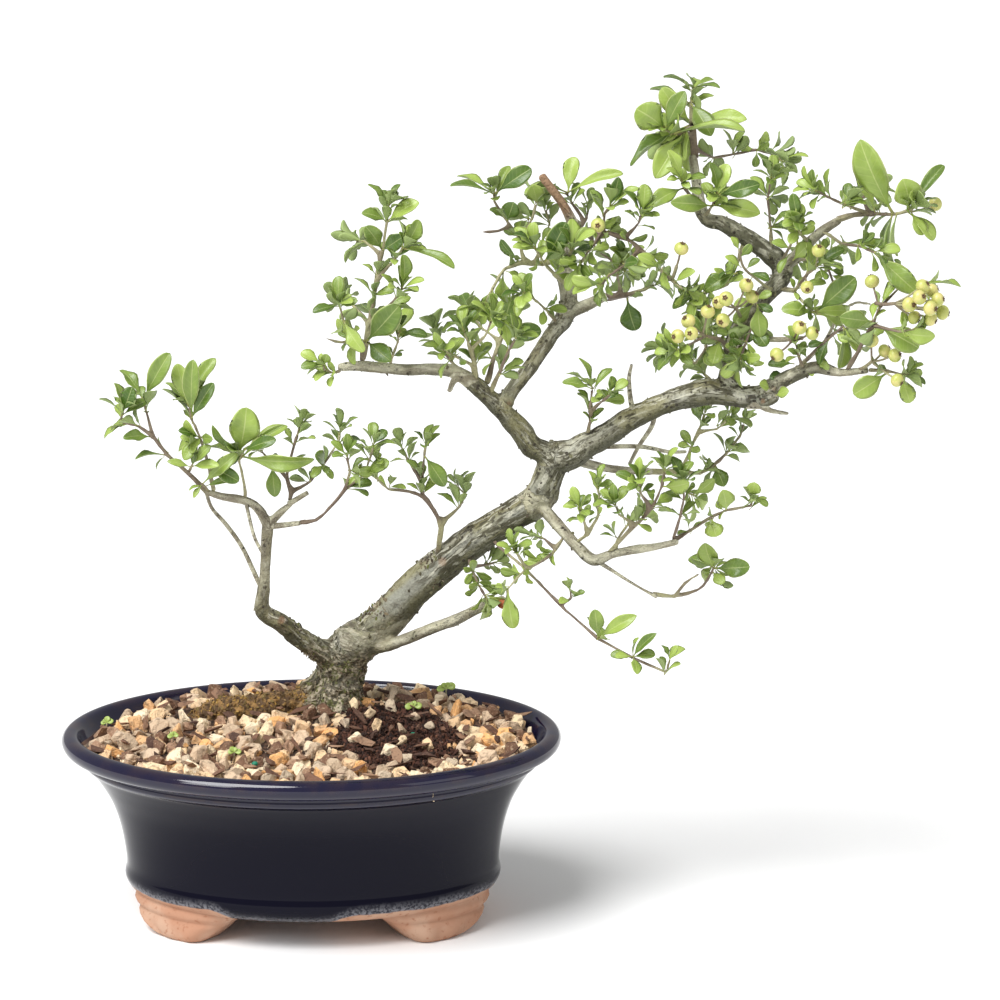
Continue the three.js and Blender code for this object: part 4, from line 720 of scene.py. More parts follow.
def curve_through(points: Sequence[Point], step: float) -> np.ndarray:
    """Draws a smooth curve through points of any number of values.

    Args:
        points: Rows of values, the first three a place in millimetres.
        step: The spacing along the curve in millimetres.

    Returns:
        The curve's rows.
    """
    rows = np.array(points, float)
    padded = np.vstack([2 * rows[0] - rows[1], rows, 2 * rows[-1] - rows[-2]])
    out = []
    for i in range(1, len(padded) - 2):
        a, b, c, d = padded[i - 1:i + 3]
        count = max(2, math.ceil(np.linalg.norm((c - b)[:3]) / step))
        for t in np.arange(count) / count:
            out.append(0.5 * (2 * b + (c - a) * t + (2 * a - 5 * b + 4 * c - d) * t**2
                              + (3 * b - a - 3 * c + d) * t**3))
    out.append(rows[-1])
    return np.array(out)


def new_object(name: str, mesh: Mesh) -> Object:
    """Links a new object with a mesh to the scene."""
    made = bpy.data.objects.new(name, mesh)
    bpy.context.scene.collection.objects.link(made)
    return made


def baked(source: Object, name: str) -> Object:
    """Makes a plain mesh object of an object with its modifiers, and removes the source.

    Args:
        source: The object with modifiers.
        name: The plain object's name.

    Returns:
        The plain object.
    """
    graph = bpy.context.evaluated_depsgraph_get()
    graph.update()
    mesh = bpy.data.meshes.new_from_object(
        source.evaluated_get(graph), preserve_all_data_layers=True, depsgraph=graph)
    mesh.name = name
    bpy.data.objects.remove(source)
    return new_object(name, mesh)


def hand_over(piece: Object, slot: str, *nodes: str) -> None:
    """Makes a finished piece ride on the root body, and hides the solids that it stands for.

    Args:
        piece: The piece.
        slot: Its slot's name; not used.
        *nodes: The nodes of the solids that it replaces.
    """
    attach(piece, "root")
    if nodes:
        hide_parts(*nodes)
    faces = sum(len(p.vertices) - 2 for p in piece.data.polygons)
    LOG.info("piece %s: %d triangles", piece.name, faces)


# Copies on points


@dataclass
class Copy:
    """One copy of a form: its place, its turn, its size and its tone."""

    place: Vector
    turn: Quaternion
    size: Vector
    tone: float = 0.5
    form: int = 0


class Copier:
    """Puts copies of forms on points with a Geometry Nodes tree."""

    def __init__(self, name: str, forms: Sequence[Mesh], finish: Finish) -> None:
        """Builds the tree.

        Args:
            name: The tree's name.
            forms: The meshes to copy, picked by number.
            finish: The copies' finish.
        """
        self.finish = finish
        self.forms = bpy.data.collections.new(name)
        for i, mesh in enumerate(forms):
            self.forms.objects.link(bpy.data.objects.new(f"{name}_form_{i}", mesh))
        self.tree = bpy.data.node_groups.new(name, "GeometryNodeTree")
        self.sockets = {}
        for label, kind in (("Points", "Geometry"), ("Forms", "Collection"), ("Bearer", "Object"),
                            ("Finish", "Material"), ("Bearer finish", "Material")):
            made = self.tree.interface.new_socket(label, in_out="INPUT", socket_type=f"NodeSocket{kind}")
            self.sockets[label] = made.identifier
        self.tree.interface.new_socket("Piece", in_out="OUTPUT", socket_type="NodeSocketGeometry")
        sheet = Sheet(self.tree)
        given = sheet.add("NodeGroupInput").outputs
        forms_in = sheet.add("GeometryNodeCollectionInfo", {0: given["Forms"], 1: True, 2: True}).outputs[0]
        put = sheet.add("GeometryNodeInstanceOnPoints", {
            "Points": given["Points"], "Instance": forms_in, "Pick Instance": True,
            "Instance Index": sheet.held("form", "INT"), "Rotation": sheet.held("turn", "QUATERNION"),
            "Scale": sheet.held("size", "FLOAT_VECTOR")})
        real = sheet.add("GeometryNodeRealizeInstances", {0: put.outputs[0]}).outputs[0]
        dressed = sheet.add("GeometryNodeSetMaterial", {0: real, "Material": given["Finish"]}).outputs[0]
        bearer = sheet.add("GeometryNodeObjectInfo", {0: given["Bearer"]}).outputs["Geometry"]
        bearer = sheet.add("GeometryNodeRealizeInstances", {0: bearer}).outputs[0]
        bearer = sheet.add("GeometryNodeSetMaterial", {
            0: bearer, "Material": given["Bearer finish"]}).outputs[0]
        joined = sheet.add("GeometryNodeJoinGeometry", {0: dressed})
        self.tree.links.new(bearer, joined.inputs[0])
        sheet.add("NodeGroupOutput", {0: joined.outputs[0]})

    def piece(self, name: str, copies: Sequence[Copy], bearer: Mesh, bearer_finish: Finish) -> Object:
        """Makes one piece of copies and what bears them.

        Args:
            name: The piece's name.
            copies: Where the copies go.
            bearer: The mesh that bears them.
            bearer_finish: Its finish.

        Returns:
            The plain mesh object.
        """
        points = bpy.data.meshes.new(name + "_points")
        points.from_pydata([tuple(c.place) for c in copies], [], [])
        for label, kind, values in (
            ("turn", "QUATERNION", [x for c in copies for x in c.turn]),
            ("size", "FLOAT_VECTOR", [x for c in copies for x in c.size]),
            ("tone", "FLOAT", [c.tone for c in copies]),
            ("form", "INT", [c.form for c in copies]),
        ):
            store(points, label, kind, values)
        base = new_object(name + "_base", points)
        holder = new_object(name + "_bearer", bearer)
        made = base.modifiers.new("copies", "NODES")
        made.node_group = self.tree
        for label, value in (("Forms", self.forms), ("Bearer", holder), ("Finish", self.finish.material()),
                             ("Bearer finish", bearer_finish.material())):
            made[self.sockets[label]] = value
        piece = baked(base, name)
        bpy.data.objects.remove(holder)
        for label in ("turn", "size", "form"):
            found = piece.data.attributes.get(label)
            if found:
                piece.data.attributes.remove(found)
        return piece

    def clear(self) -> None:
        """Removes the forms once every piece is made."""
        for form in list(self.forms.objects):
            bpy.data.objects.remove(form)
        bpy.data.collections.remove(self.forms)


def facing(along: Vector, up: Vector) -> Quaternion:
    """Turns a form so that its Y lies along a direction and its Z nearest to another.

    Args:
        along: Where Y goes.
        up: Where Z leans.

    Returns:
        The turn.
    """
    y = along.normalized()
    x = y.cross(up).normalized()
    return Matrix((x, y, x.cross(y))).transposed().to_quaternion()


# Pot


@dataclass
class Pot:
    """The oval pot: a turned profile drawn out sideways, on four cloud feet, with two drainage holes."""

    stretch: float = 26.0
    around: int = 168
    foot_around: int = 72
    drain_x: float = 42.0
    drain_radius: float = 7.0
    drill_heights: tuple[float, float] = (5, 30)
    rim_glaze_from: float = 76.8
    foot_sides: tuple[tuple[float, int], ...] = ((0.0, 1), (math.pi, -1), (math.pi, 1), (0.0, -1))
    profile: tuple[tuple[float, float], ...] = (
        (26, 14), (60, 14), (80, 14), (85, 15), (88.2, 17.5), (90, 21), (90.1, 23.6), (89.5, 26),
        (89.3, 28.5), (89.8, 34), (91.2, 43), (93.3, 51.5), (96.5, 60), (101, 68), (104.9, 73.6),
        (106.7, 75.8), (108.4, 77), (109.3, 78.6), (108.9, 80.2), (109.4, 81.4), (112.4, 82.1),
        (115.7, 83), (118.1, 85), (119, 87.6), (118.4, 89.9), (116.6, 91.5), (114.2, 92),
        (112.1, 91.4), (110.6, 89.4), (109, 86.6), (104, 80), (98, 72), (92.6, 62), (88, 52),
        (85.2, 42), (83, 32), (80.6, 25), (78, 21.6), (72, 21), (50, 21), (26, 21),
    )
    foot_levels: tuple[tuple[float, float, float, float, float], ...] = (
        (0, 0.75, 0.15, 86, 67), (0.4, 0.745, 0.17, 87.2, 66), (1.5, 0.73, 0.205, 88.4, 64.6),
        (3, 0.71, 0.25, 89.2, 63), (5, 0.68, 0.31, 89.4, 61), (7.2, 0.65, 0.37, 89, 59.4),
        (8.8, 0.63, 0.42, 88.2, 58.2), (9.6, 0.62, 0.445, 87, 57.6), (10.4, 0.61, 0.465, 87, 57),
        (11.6, 0.6, 0.495, 88, 56.2), (13, 0.59, 0.53, 88.2, 55.4), (14.6, 0.58, 0.56, 87.4, 54.6),
        (16, 0.58, 0.57, 86.4, 54),
    )

    def wall(self) -> Mesh:
        """Builds the pot's body."""
        shell = Shell()
        rings = []
        for radius, height in curve_through([(r, z, 0) for r, z in self.profile], 2.2)[:, :2]:
            short = max(radius - self.stretch, 0.0)
            rings.append([row(((short + self.stretch) * math.cos(t), short * math.sin(t), height))
                          for t in turns(self.around)])
        shell.rings(rings, closed=False)
        return shell.mesh("pot_wall")

    def foot(self, shell: Shell, start: float, way: int) -> None:
        """Adds one cloud foot: a rounded lobe with soft knuckles under a moulded band.

        Args:
            shell: What the foot is added to.
            start: The end of the pot that the foot is nearest to, as a turn.
            way: The way round from there, 1 or -1.
        """
        rings = []
        for z, turn, span, outer, inner in self.foot_levels:
            ring = []
            for t in turns(self.foot_around):
                u = math.copysign(abs(math.cos(t)) ** 0.5, math.cos(t))
                v = math.copysign(abs(math.sin(t)) ** 0.62, math.sin(t))
                knuckle = math.sin(math.pi * min(z / 10.0, 1.0)) * smooth_step(0.3, 0.9, u)
                radius = (outer + inner) / 2 + (outer - inner) / 2 * u - self.stretch
                radius += 0.9 * knuckle * (math.cos(v * 3 * math.pi) - 0.4)
                angle = start + way * turn + span * v
                ring.append(row(((radius + self.stretch) * math.cos(angle), radius * math.sin(angle), z)))
            rings.append(ring)
        shell.rings(rings)

    def build(self) -> None:
        """Joins wall and feet, opens the drainage holes and glazes the pot."""
        pot = new_object("pot_body", self.wall())
        feet, drills = Shell(), Shell()
        for start, way in self.foot_sides:
            self.foot(feet, start, way)
        for x in (-self.drain_x, self.drain_x):
            drills.rings([[row((x + self.drain_radius * math.cos(t), self.drain_radius * math.sin(t), z))
                           for t in turns(32)] for z in self.drill_heights])
        tools = [new_object("feet", feet.mesh("feet")), new_object("drills", drills.mesh("drills"))]
        for tool, operation in zip(tools, ("UNION", "DIFFERENCE"), strict=True):
            made = pot.modifiers.new(operation, "BOOLEAN")
            made.operation, made.object, made.solver = operation, tool, "EXACT"
        piece = baked(pot, "oval_pot")
        for tool in tools:
            bpy.data.objects.remove(tool)
        dress(piece, GLAZE, RIM_GLAZE)
        rim = [int(face.center.z > self.rim_glaze_from * MM) for face in piece.data.polygons]
        piece.data.polygons.foreach_set("material_index", rim)
        piece.data.polygons.foreach_set("use_smooth", [True] * len(piece.data.polygons))
        hand_over(piece, "glaze", "pot")


# Scattered grains


@dataclass(frozen=True)
class Grains:
    """One kind of scattered grain: spacing, smallest and largest size in metres, and how it lies."""

    spacing: float
    smallest: Place
    largest: Place
    roughness: float
    lift: float
    tilt: float
    seed: int
    form: str = "splinters"


def broken_stone(name: str, seed: int, corners: int, worn: float) -> Mesh:
    """Builds one angular stone about a metre across, the hull of a few points drawn by seed.

    Args:
        name: The mesh's name.
        seed: Fixes the points.
        corners: How many there are.
        worn: The width of its worn edges.

    Returns:
        The closed mesh.
    """
    draw = np.random.default_rng(seed)
    work = bmesh.new()
    for spot in draw.normal(size=(corners, 3)):
        spot *= 0.5 * (0.86 + 0.14 * draw.random()) / (np.abs(spot) ** 3).sum() ** (1 / 3)
        work.verts.new(spot)
    hull = bmesh.ops.convex_hull(work, input=work.verts)
    spare = {v for v in hull["geom_interior"] + hull["geom_unused"] if isinstance(v, BMVert)}
    bmesh.ops.delete(work, geom=list(spare), context="VERTS")
    if worn:
        bmesh.ops.dissolve_limit(work, angle_limit=0.3, verts=work.verts, edges=work.edges)
        bmesh.ops.bevel(work, geom=work.edges, offset=worn, segments=1, affect="EDGES", clamp_overlap=True)
    bmesh.ops.recalc_face_normals(work, faces=work.faces)
    mesh = bpy.data.meshes.new(name)
    work.to_mesh(mesh)
    work.free()
    return mesh


class Scatter:
    """Strews grains over the marked faces of a mesh with a Geometry Nodes tree."""

    def __init__(self) -> None:
        """Builds the tree and the grains' forms, and keeps the identifier of each named input."""
        self.forms = {}
        for kind, corners, worn in (("stones", 15, 0.045), ("splinters", 10, 0.0)):
            self.forms[kind] = bpy.data.collections.new(kind)
            for seed in range(9):
                mesh = broken_stone(f"{kind}_{seed}", seed + 40, corners, worn)
                self.forms[kind].objects.link(bpy.data.objects.new(mesh.name, mesh))
        self.tree = bpy.data.node_groups.new("scattered_grains", "GeometryNodeTree")
        self.names = {}
        for label, kind in (("Bed", "Geometry"), ("Forms", "Collection"), ("Spacing", "Float"),
                            ("Smallest", "Vector"), ("Largest", "Vector"), ("Roughness", "Float"),
                            ("Lift", "Float"), ("Density", "Float"), ("Tilt", "Float"), ("Seed", "Int"),
                            ("Finish", "Material")):
            made = self.tree.interface.new_socket(label, in_out="INPUT", socket_type=f"NodeSocket{kind}")
            self.names[label] = made.identifier
        self.tree.interface.new_socket("Grains", in_out="OUTPUT", socket_type="NodeSocketGeometry")
        sheet = Sheet(self.tree)
        given = sheet.add("NodeGroupInput").outputs
        spread = sheet.add("GeometryNodeDistributePointsOnFaces", {
            "Mesh": given["Bed"], "Selection": sheet.held("top", "BOOLEAN"), "Distance Min": given["Spacing"],
            "Density Max": given["Density"], "Seed": given["Seed"]}, distribute_method="POISSON")
        forms = sheet.add("GeometryNodeCollectionInfo", {0: given["Forms"], 1: True, 2: True}).outputs[0]
        tilt = sheet.add("ShaderNodeCombineXYZ", {0: given["Tilt"], 1: given["Tilt"], 2: 6.283})
        turn = sheet.add("FunctionNodeRandomValue", {1: tilt.outputs[0], "Seed": given["Seed"]},
                         data_type="FLOAT_VECTOR").outputs[0]
        size = sheet.add("FunctionNodeRandomValue", {0: given["Smallest"], 1: given["Largest"], "Seed": 7},
                         data_type="FLOAT_VECTOR").outputs[0]
        put = sheet.add("GeometryNodeInstanceOnPoints", {
            "Points": spread.outputs[0], "Instance": forms, "Pick Instance": True,
            "Rotation": turn, "Scale": size})
        tone = sheet.add("FunctionNodeRandomValue", {2: 0.0, 3: 1.0, "Seed": 11},
                         data_type="FLOAT").outputs[1]
        held = {0: put.outputs[0], "Name": "tone", "Value": tone}
        kept = sheet.add("GeometryNodeStoreNamedAttribute", held,
                         data_type="FLOAT", domain="INSTANCE").outputs[0]
        real = sheet.add("GeometryNodeRealizeInstances", {0: kept}).outputs[0]
        place = sheet.add("GeometryNodeInputPosition").outputs[0]
        out = sheet.add("GeometryNodeInputNormal").outputs[0]
        rough = sheet.add("ShaderNodeTexNoise", {"Vector": place, "Scale": 210.0, "Detail": 2.0}).outputs[0]
        rough = sheet.times(sheet.minus(rough, 0.5), given["Roughness"])
        push = sheet.add("ShaderNodeVectorMath", {0: out, 3: rough}, operation="SCALE").outputs[0]
        lift = sheet.add("ShaderNodeCombineXYZ", {2: given["Lift"]}).outputs[0]
        push = sheet.add("ShaderNodeVectorMath", {0: push, 1: lift}, operation="ADD").outputs[0]
        moved = sheet.add("GeometryNodeSetPosition", {0: real, "Offset": push}).outputs[0]
        smooth = sheet.add("GeometryNodeSetShadeSmooth", {0: moved, "Shade Smooth": False}).outputs[0]
        dressed = sheet.add("GeometryNodeSetMaterial", {0: smooth, "Material": given["Finish"]}).outputs[0]
        sheet.add("NodeGroupOutput", {0: dressed})

    def strew(self, name: str, bed: Mesh, grains: Grains, finish: Finish) -> Object:
        """Strews one kind of grain.

        Args:
            name: The piece's name.
            bed: The mesh, with the faces to strew on marked as top.
            grains: The kind.
            finish: The grains' finish.

        Returns:
            The plain mesh object.
        """
        base = new_object(name + "_base", bed)
        made = base.modifiers.new("grains", "NODES")
        made.node_group = self.tree
        for label, value in (("Forms", self.forms[grains.form]), ("Spacing", grains.spacing),
                             ("Smallest", grains.smallest), ("Largest", grains.largest),
                             ("Roughness", grains.roughness), ("Lift", grains.lift), ("Tilt", grains.tilt),
                             ("Seed", grains.seed), ("Density", 2.0 / grains.spacing**2),
                             ("Finish", finish.material())):
            made[self.names[label]] = value
        return baked(base, name)

    def clear(self) -> None:
        """Removes the forms once every grain is strewn."""
        for forms in self.forms.values():
            for form in list(forms.objects):
                bpy.data.objects.remove(form)
            bpy.data.collections.remove(forms)


# Soil and gravel


@dataclass
class Gravel:
    """The gravel: loose grains, fine grit and bark chips scattered by rule over a mounded bed."""

    radius: float = 105.0
    stretch: float = 26.0
    surface: float = 83.0
    mound: tuple[float, float, float, float, float] = (0, 52, 10.5, 95, 52)
    bank: Place = (3.2, 70, 98)
    wet: Place = (39, 0, 31)
    wet_rise: float = 2.6
    clear_of_root: float = 8.5
    sunk: float = 1.2
    bottom: float = 78.6
    level: float = 80.0
    rings: int = 30
    around: int = 120

    def wetness(self, x: float, y: float) -> float:
        """Tells how far a place is inside the patch of wet bark, which has a ragged edge.

        Args:
            x: The place, to the right of the pot's middle.
            y: The place, behind it.

        Returns:
            The share, from 0 to 1.
        """
        mx, my, reach = self.wet
        far = math.hypot(x - mx, (y - my) * 0.72) / reach
        return smooth_step(1.15, 0.75, far + 0.35 * noise.noise(Vector((x, y, 3.0)) * 0.06))

    def height(self, x: float, y: float) -> float:
        """Gives the bed's height at a place.

        Args:
            x: The place, to the right of the pot's middle.
            y: The place, behind it.

        Returns:
            The height in millimetres.
        """
        mx, my, rise, wide, deep = self.mound
        heap = rise * math.exp(-(((x - mx) / wide) ** 2 + ((y - my) / deep) ** 2))
        bank, low, high = self.bank
        return self.surface + heap + bank * smooth_step(low, high, x) + self.wet_rise * self.wetness(x, y)

    def bed(self, wet: bool | None = None) -> Mesh:
        """Builds the closed bed under the grains, with its top faces marked.

        Args:
            wet: Whether the wet patch alone is marked, or all but it. None marks the whole top.

        Returns:
            The bed.
        """
        shell = Shell()
        rings = []
        for part in [0.02, *[i / self.rings for i in range(1, self.rings + 1)]]:
            ring = []
            for t in turns(self.around):
                x = part * self.radius * math.cos(t)
                y = part * (self.radius - self.stretch) * math.sin(t)
                ring.append(row((x, y, self.height(x, y) - self.sunk)))
            rings.append(ring)
        rings.append([Vector((c.x, c.y, self.bottom * MM)) for c in rings[-1]])
        shell.rings(rings)
        mesh = shell.mesh("gravel_bed")
        root = [row(point) for point in curve_through([p[:3] for p in LIMBS["surface_root"]], 3.0)]
        marks = []
        for face in mesh.polygons:
            damp = self.wetness((face.center.x - POT_X) / MM, face.center.y / MM) > 0.45
            bare = min((face.center.xy - point.xy).length for point in root) < self.clear_of_root * MM
            level = face.normal.z > 0.4 and face.center.z > self.level * MM
            marks.append(level and (wet is None or (damp is wet and not bare)))
        store(mesh, "top", "BOOLEAN", marks, "FACE")
        return mesh

    def build(self, scatter: Scatter) -> None:
        """Scatters the grains, the grit, the chips and the wet bark, and dresses the bed.

        Args:
            scatter: What strews them.
        """
        kinds = (
            ("gravel_stones", GRAVEL, False,
             Grains(0.0067, (0.0076, 0.0064, 0.0054), (0.0165, 0.013, 0.0102), 0.0056, 0.0008, 6.28, 3,
                    "stones")),
            ("gravel_grit", GRAVEL, False,
             Grains(0.0036, (0.0024, 0.002, 0.0018), (0.0062, 0.005, 0.004), 0.001, 0.0004, 6.28, 5)),
            ("bark_chips", CHIP, None,
             Grains(0.0098, (0.0045, 0.0022, 0.0012), (0.0155, 0.0066, 0.0032), 0.002, 0.004, 0.6, 9)),
            ("wet_crumbs", CRUMBLE, True,
             Grains(0.0011, (0.001, 0.0008, 0.0006), (0.0046, 0.0028, 0.002), 0.0008, 0.001, 1.6, 13)),
            ("stones_on_bark", GRAVEL, True,
             Grains(0.0125, (0.006, 0.005, 0.004), (0.0115, 0.009, 0.007), 0.003, 0.0028, 6.28, 31,
                    "stones")),
        )
        for name, finish, wet, grains in kinds:
            hand_over(scatter.strew(name, self.bed(wet), grains, finish), "gravel")
        bed = new_object("gravel_bed", self.bed())
        # The bed shows only in the gaps between the grains; its dark crumb colour is partly painted shade
        # there.
        dress(bed, CRUMB)
        hand_over(bed, "gravel", "gravel")


# Wood

LIMBS = {
    "trunk": [(9.6, 45, 78.5, 16), (9, 45, 85.5, 15.8), (9, 45, 94.3, 14.6), (11.2, 45, 102.3, 11.8),
        (12.7, 43.5, 111.4, 11.2), (17.8, 40, 121.7, 10.8), (30.2, 35, 131.6, 9.8), (46, 28, 151, 8.8),
        (61, 25, 165, 8.4), (76, 22, 177.6, 8), (91, 19, 188.6, 7.8), (106.8, 17, 199, 8),
        (112.4, 15, 211, 7.3), (116, 14, 222, 7.5)],
    "left_subtrunk": [(13.8, 41, 116.8, 6.5), (2.2, 36, 121.3, 5.4), (-8.4, 28.5, 130.2, 4.9),
        (-15.3, 22, 138, 4.6), (-23.7, 18, 145.4, 3.8), (-23.2, 15, 155, 3.2),
        (-22, 12, 165, 2.75), (-21, 9, 179, 2.7), (-20, 8, 190, 2.8)],
    "left_limb": [(-20, 8, 189, 2.5), (-24, 4, 198, 2.3), (-30, 0, 203, 2.1), (-41, -4, 206, 1.9),
        (-48, -7, 209, 1.4)],
    "left_inner_stub": [(-10, 7, 200, 1.4), (-1, 4, 206, 1.1)],
    "left_low": [(-19, 8, 189, 1.6), (-14, 5, 190, 1.4), (-5, 1, 192, 1.15)],
    "bare_a": [(-48, -7, 209, 0.9), (-46, 2, 199, 0.9), (-39.6, 10, 188.7, 1.1), (-32.6, 14, 176.7, 1.1),
        (-25.4, 15, 160, 1.2), (-22.5, 13, 155.5, 1)],
    "bare_b": [(-30, 0, 203, 0.9), (-26, -6, 188, 0.8), (-22, -8, 180, 0.8)],
    "left_arm": [(116, 14, 220, 6), (110.2, 13, 223.8, 5.6), (104.4, 12, 227.2, 5.4), (99, 11, 235, 5.3),
        (92.2, 10, 242.9, 4.7), (87.3, 9, 248.3, 4.6), (83.3, 8, 252.1, 4.3), (78.8, 7, 256.4, 4.3),
        (72.6, 5, 261.6, 3.5), (65, 3, 265, 3.1), (44, -3, 266.5, 2.7), (25, -8, 269, 2.5),
        (16, -11, 269, 2)],
    "left_arm_stub": [(76, 6, 260, 2.2), (69, 1, 261, 1.7), (66, -4, 256, 1.3)],
    "rising_arm": [(91.8, 9, 248.8, 4.3), (94.9, 11, 252.8, 3.7), (103.3, 14, 263.5, 3.6),
        (109.5, 16, 272.3, 3.6), (114, 18, 279, 4), (120, 20, 287, 4.5), (122, 22, 297, 4.2),
        (120, 24, 309, 3.8), (121, 25, 318, 3.6), (125, 26, 330, 3.4)],
    "brown_stub": [(125, 26, 328, 3), (120, 25, 339, 2.3), (109, 23, 354, 1.9)],
    "rising_side": [(121, 20, 289, 3.2), (130, 24, 292, 2.8), (140, 29, 296, 2.4)],
    "main_limb": [(116, 14, 220, 7.6), (124, 12, 223, 7.2), (131, 11, 228, 6.1), (138, 9, 232, 5.8),
        (153, 6, 242, 5.4), (169, 3, 250, 5.4), (186, 0, 255, 6), (194, -2, 255, 5.8),
        (203, -4, 253.5, 5.3), (210, -5, 253.5, 5.6), (216, -6, 255, 4.8)],
    "broken_stub": [(209, -5, 251, 1.7), (216, -3, 247, 1.4), (225, -1, 245, 0.9)],
    "limb_end": [(212, -5, 255, 4.1), (218, -7, 260, 3.8), (225, -8, 264, 3.6), (231, -10, 267, 3.5),
        (237, -11, 269, 3.2), (242, -12, 268, 2.8), (248, -14, 267, 1.9), (260, -18, 269, 1.7)],
    "pruned_shoot": [(220, -7, 260, 1.8), (225, -3, 263, 1.4), (233, 2, 270, 1.2), (241, 6, 277, 1.1),
        (249, 10, 290, 1), (256, 13, 295, 0.9), (264, 17, 294, 0.8)],
    "riser": [(197, -2, 255, 4.8), (196, 0, 261, 4.3), (197, 2, 267, 4.1), (199, 5, 277, 4.1),
        (205, 8, 288, 4.2), (213, 10, 298, 4.5), (219, 11, 304, 4.6), (222, 12, 308, 4.8),
        (221, 13, 314, 4.8), (215, 14, 319, 4.6), (204.8, 16, 326, 4.1), (193.8, 18, 332, 3.7),
        (184.8, 20, 336, 3.3), (180, 24, 362, 2.2)],
    "right_arm": [(222, 13, 312, 3.2), (228, 10, 318, 2.8), (234, 7, 325, 2.4), (239.8, 4, 330.8, 2.3),
        (246.7, 2, 335.8, 2)],
    "cut_branch": [(199, 5, 277, 1.8), (203, -1, 281, 1.5), (210, -6, 282, 1.4), (218, -11, 282, 1.4),
        (230, -18, 284, 1.2)],
    "behind_a": [(123, 14, 221, 2.8), (133, 26, 215, 2.4), (144, 34, 211, 2.1), (162, 42, 208, 1.9)],
    "behind_b": [(131, 13, 226, 1.5), (139, 24, 224, 1.2), (157, 34, 222, 1.1), (171, 41, 218, 0.9),
        (179, 46, 217, 0.8)],
    "behind_c": [(162, 5, 247, 1.5), (162, 18, 236, 1.2), (156, 30, 223, 1), (152, 37, 213, 0.9)],
    "limb_twig": [(153, 6, 243, 1.5), (151, 2, 251, 1.2), (150, -3, 262, 1), (151, -6, 269, 0.7)],
    "lower_limb": [(106, 17, 201, 3.4), (110, 12, 197, 3.1), (117.4, 4, 190.2, 2.8), (125.4, -4, 182.6, 2.8),
        (133.7, -9, 176.5, 2.9), (142, -12, 180, 2.2), (153, -15, 183, 2.2), (162, -18, 185, 1.8),
        (172, -21, 188, 1.6)],
    "lower_thin": [(135.5, -9, 176, 1.2), (142, -10, 172, 0.9), (150, -11, 167, 0.7), (157, -12, 163, 0.6),
        (163, -13, 160, 1)],
    "low_branch": [(22, 36, 126.2, 3.4), (32, 29, 124.5, 3.1), (44.2, 22, 130, 2.8), (58, 17, 137, 2.8),
        (69, 13, 142, 2.8), (77, 10, 147, 2.6), (84, 7, 151, 2.4), (91, 5, 154, 1.9)],
    "surface_root": [(5, 43, 92, 9), (-6, 38, 92.6, 7.8), (-19, 34, 92.6, 7.2), (-33, 32.5, 92.2, 7.2),
        (-45, 32.5, 90.8, 6.6), (-54, 34.5, 88.6, 5.2), (-61, 37.5, 84.5, 3.2)],
    "root_left": [(4, 45, 106, 4.5), (-2, 43, 99, 6), (-7, 41, 92.5, 7)],
    "root_front": [(9, 42, 93, 6.5), (12, 33, 91, 4.6), (14, 25, 88, 2.8)],
    "root_right": [(14, 46, 92.5, 6.5), (22.5, 46.5, 91, 4.5), (29, 46.5, 89, 2.8)],
    "left_inner": [(-20, 8, 189, 2.2), (-15, 7, 195, 1.9), (-9, 7, 200, 1.2)],
}


@dataclass(frozen=True)
class Knot:
    """A healed scar or swelling on the wood: place, reach and height in millimetres."""

    place: Place
    reach: float
    rise: float
    scar: float = 0.0


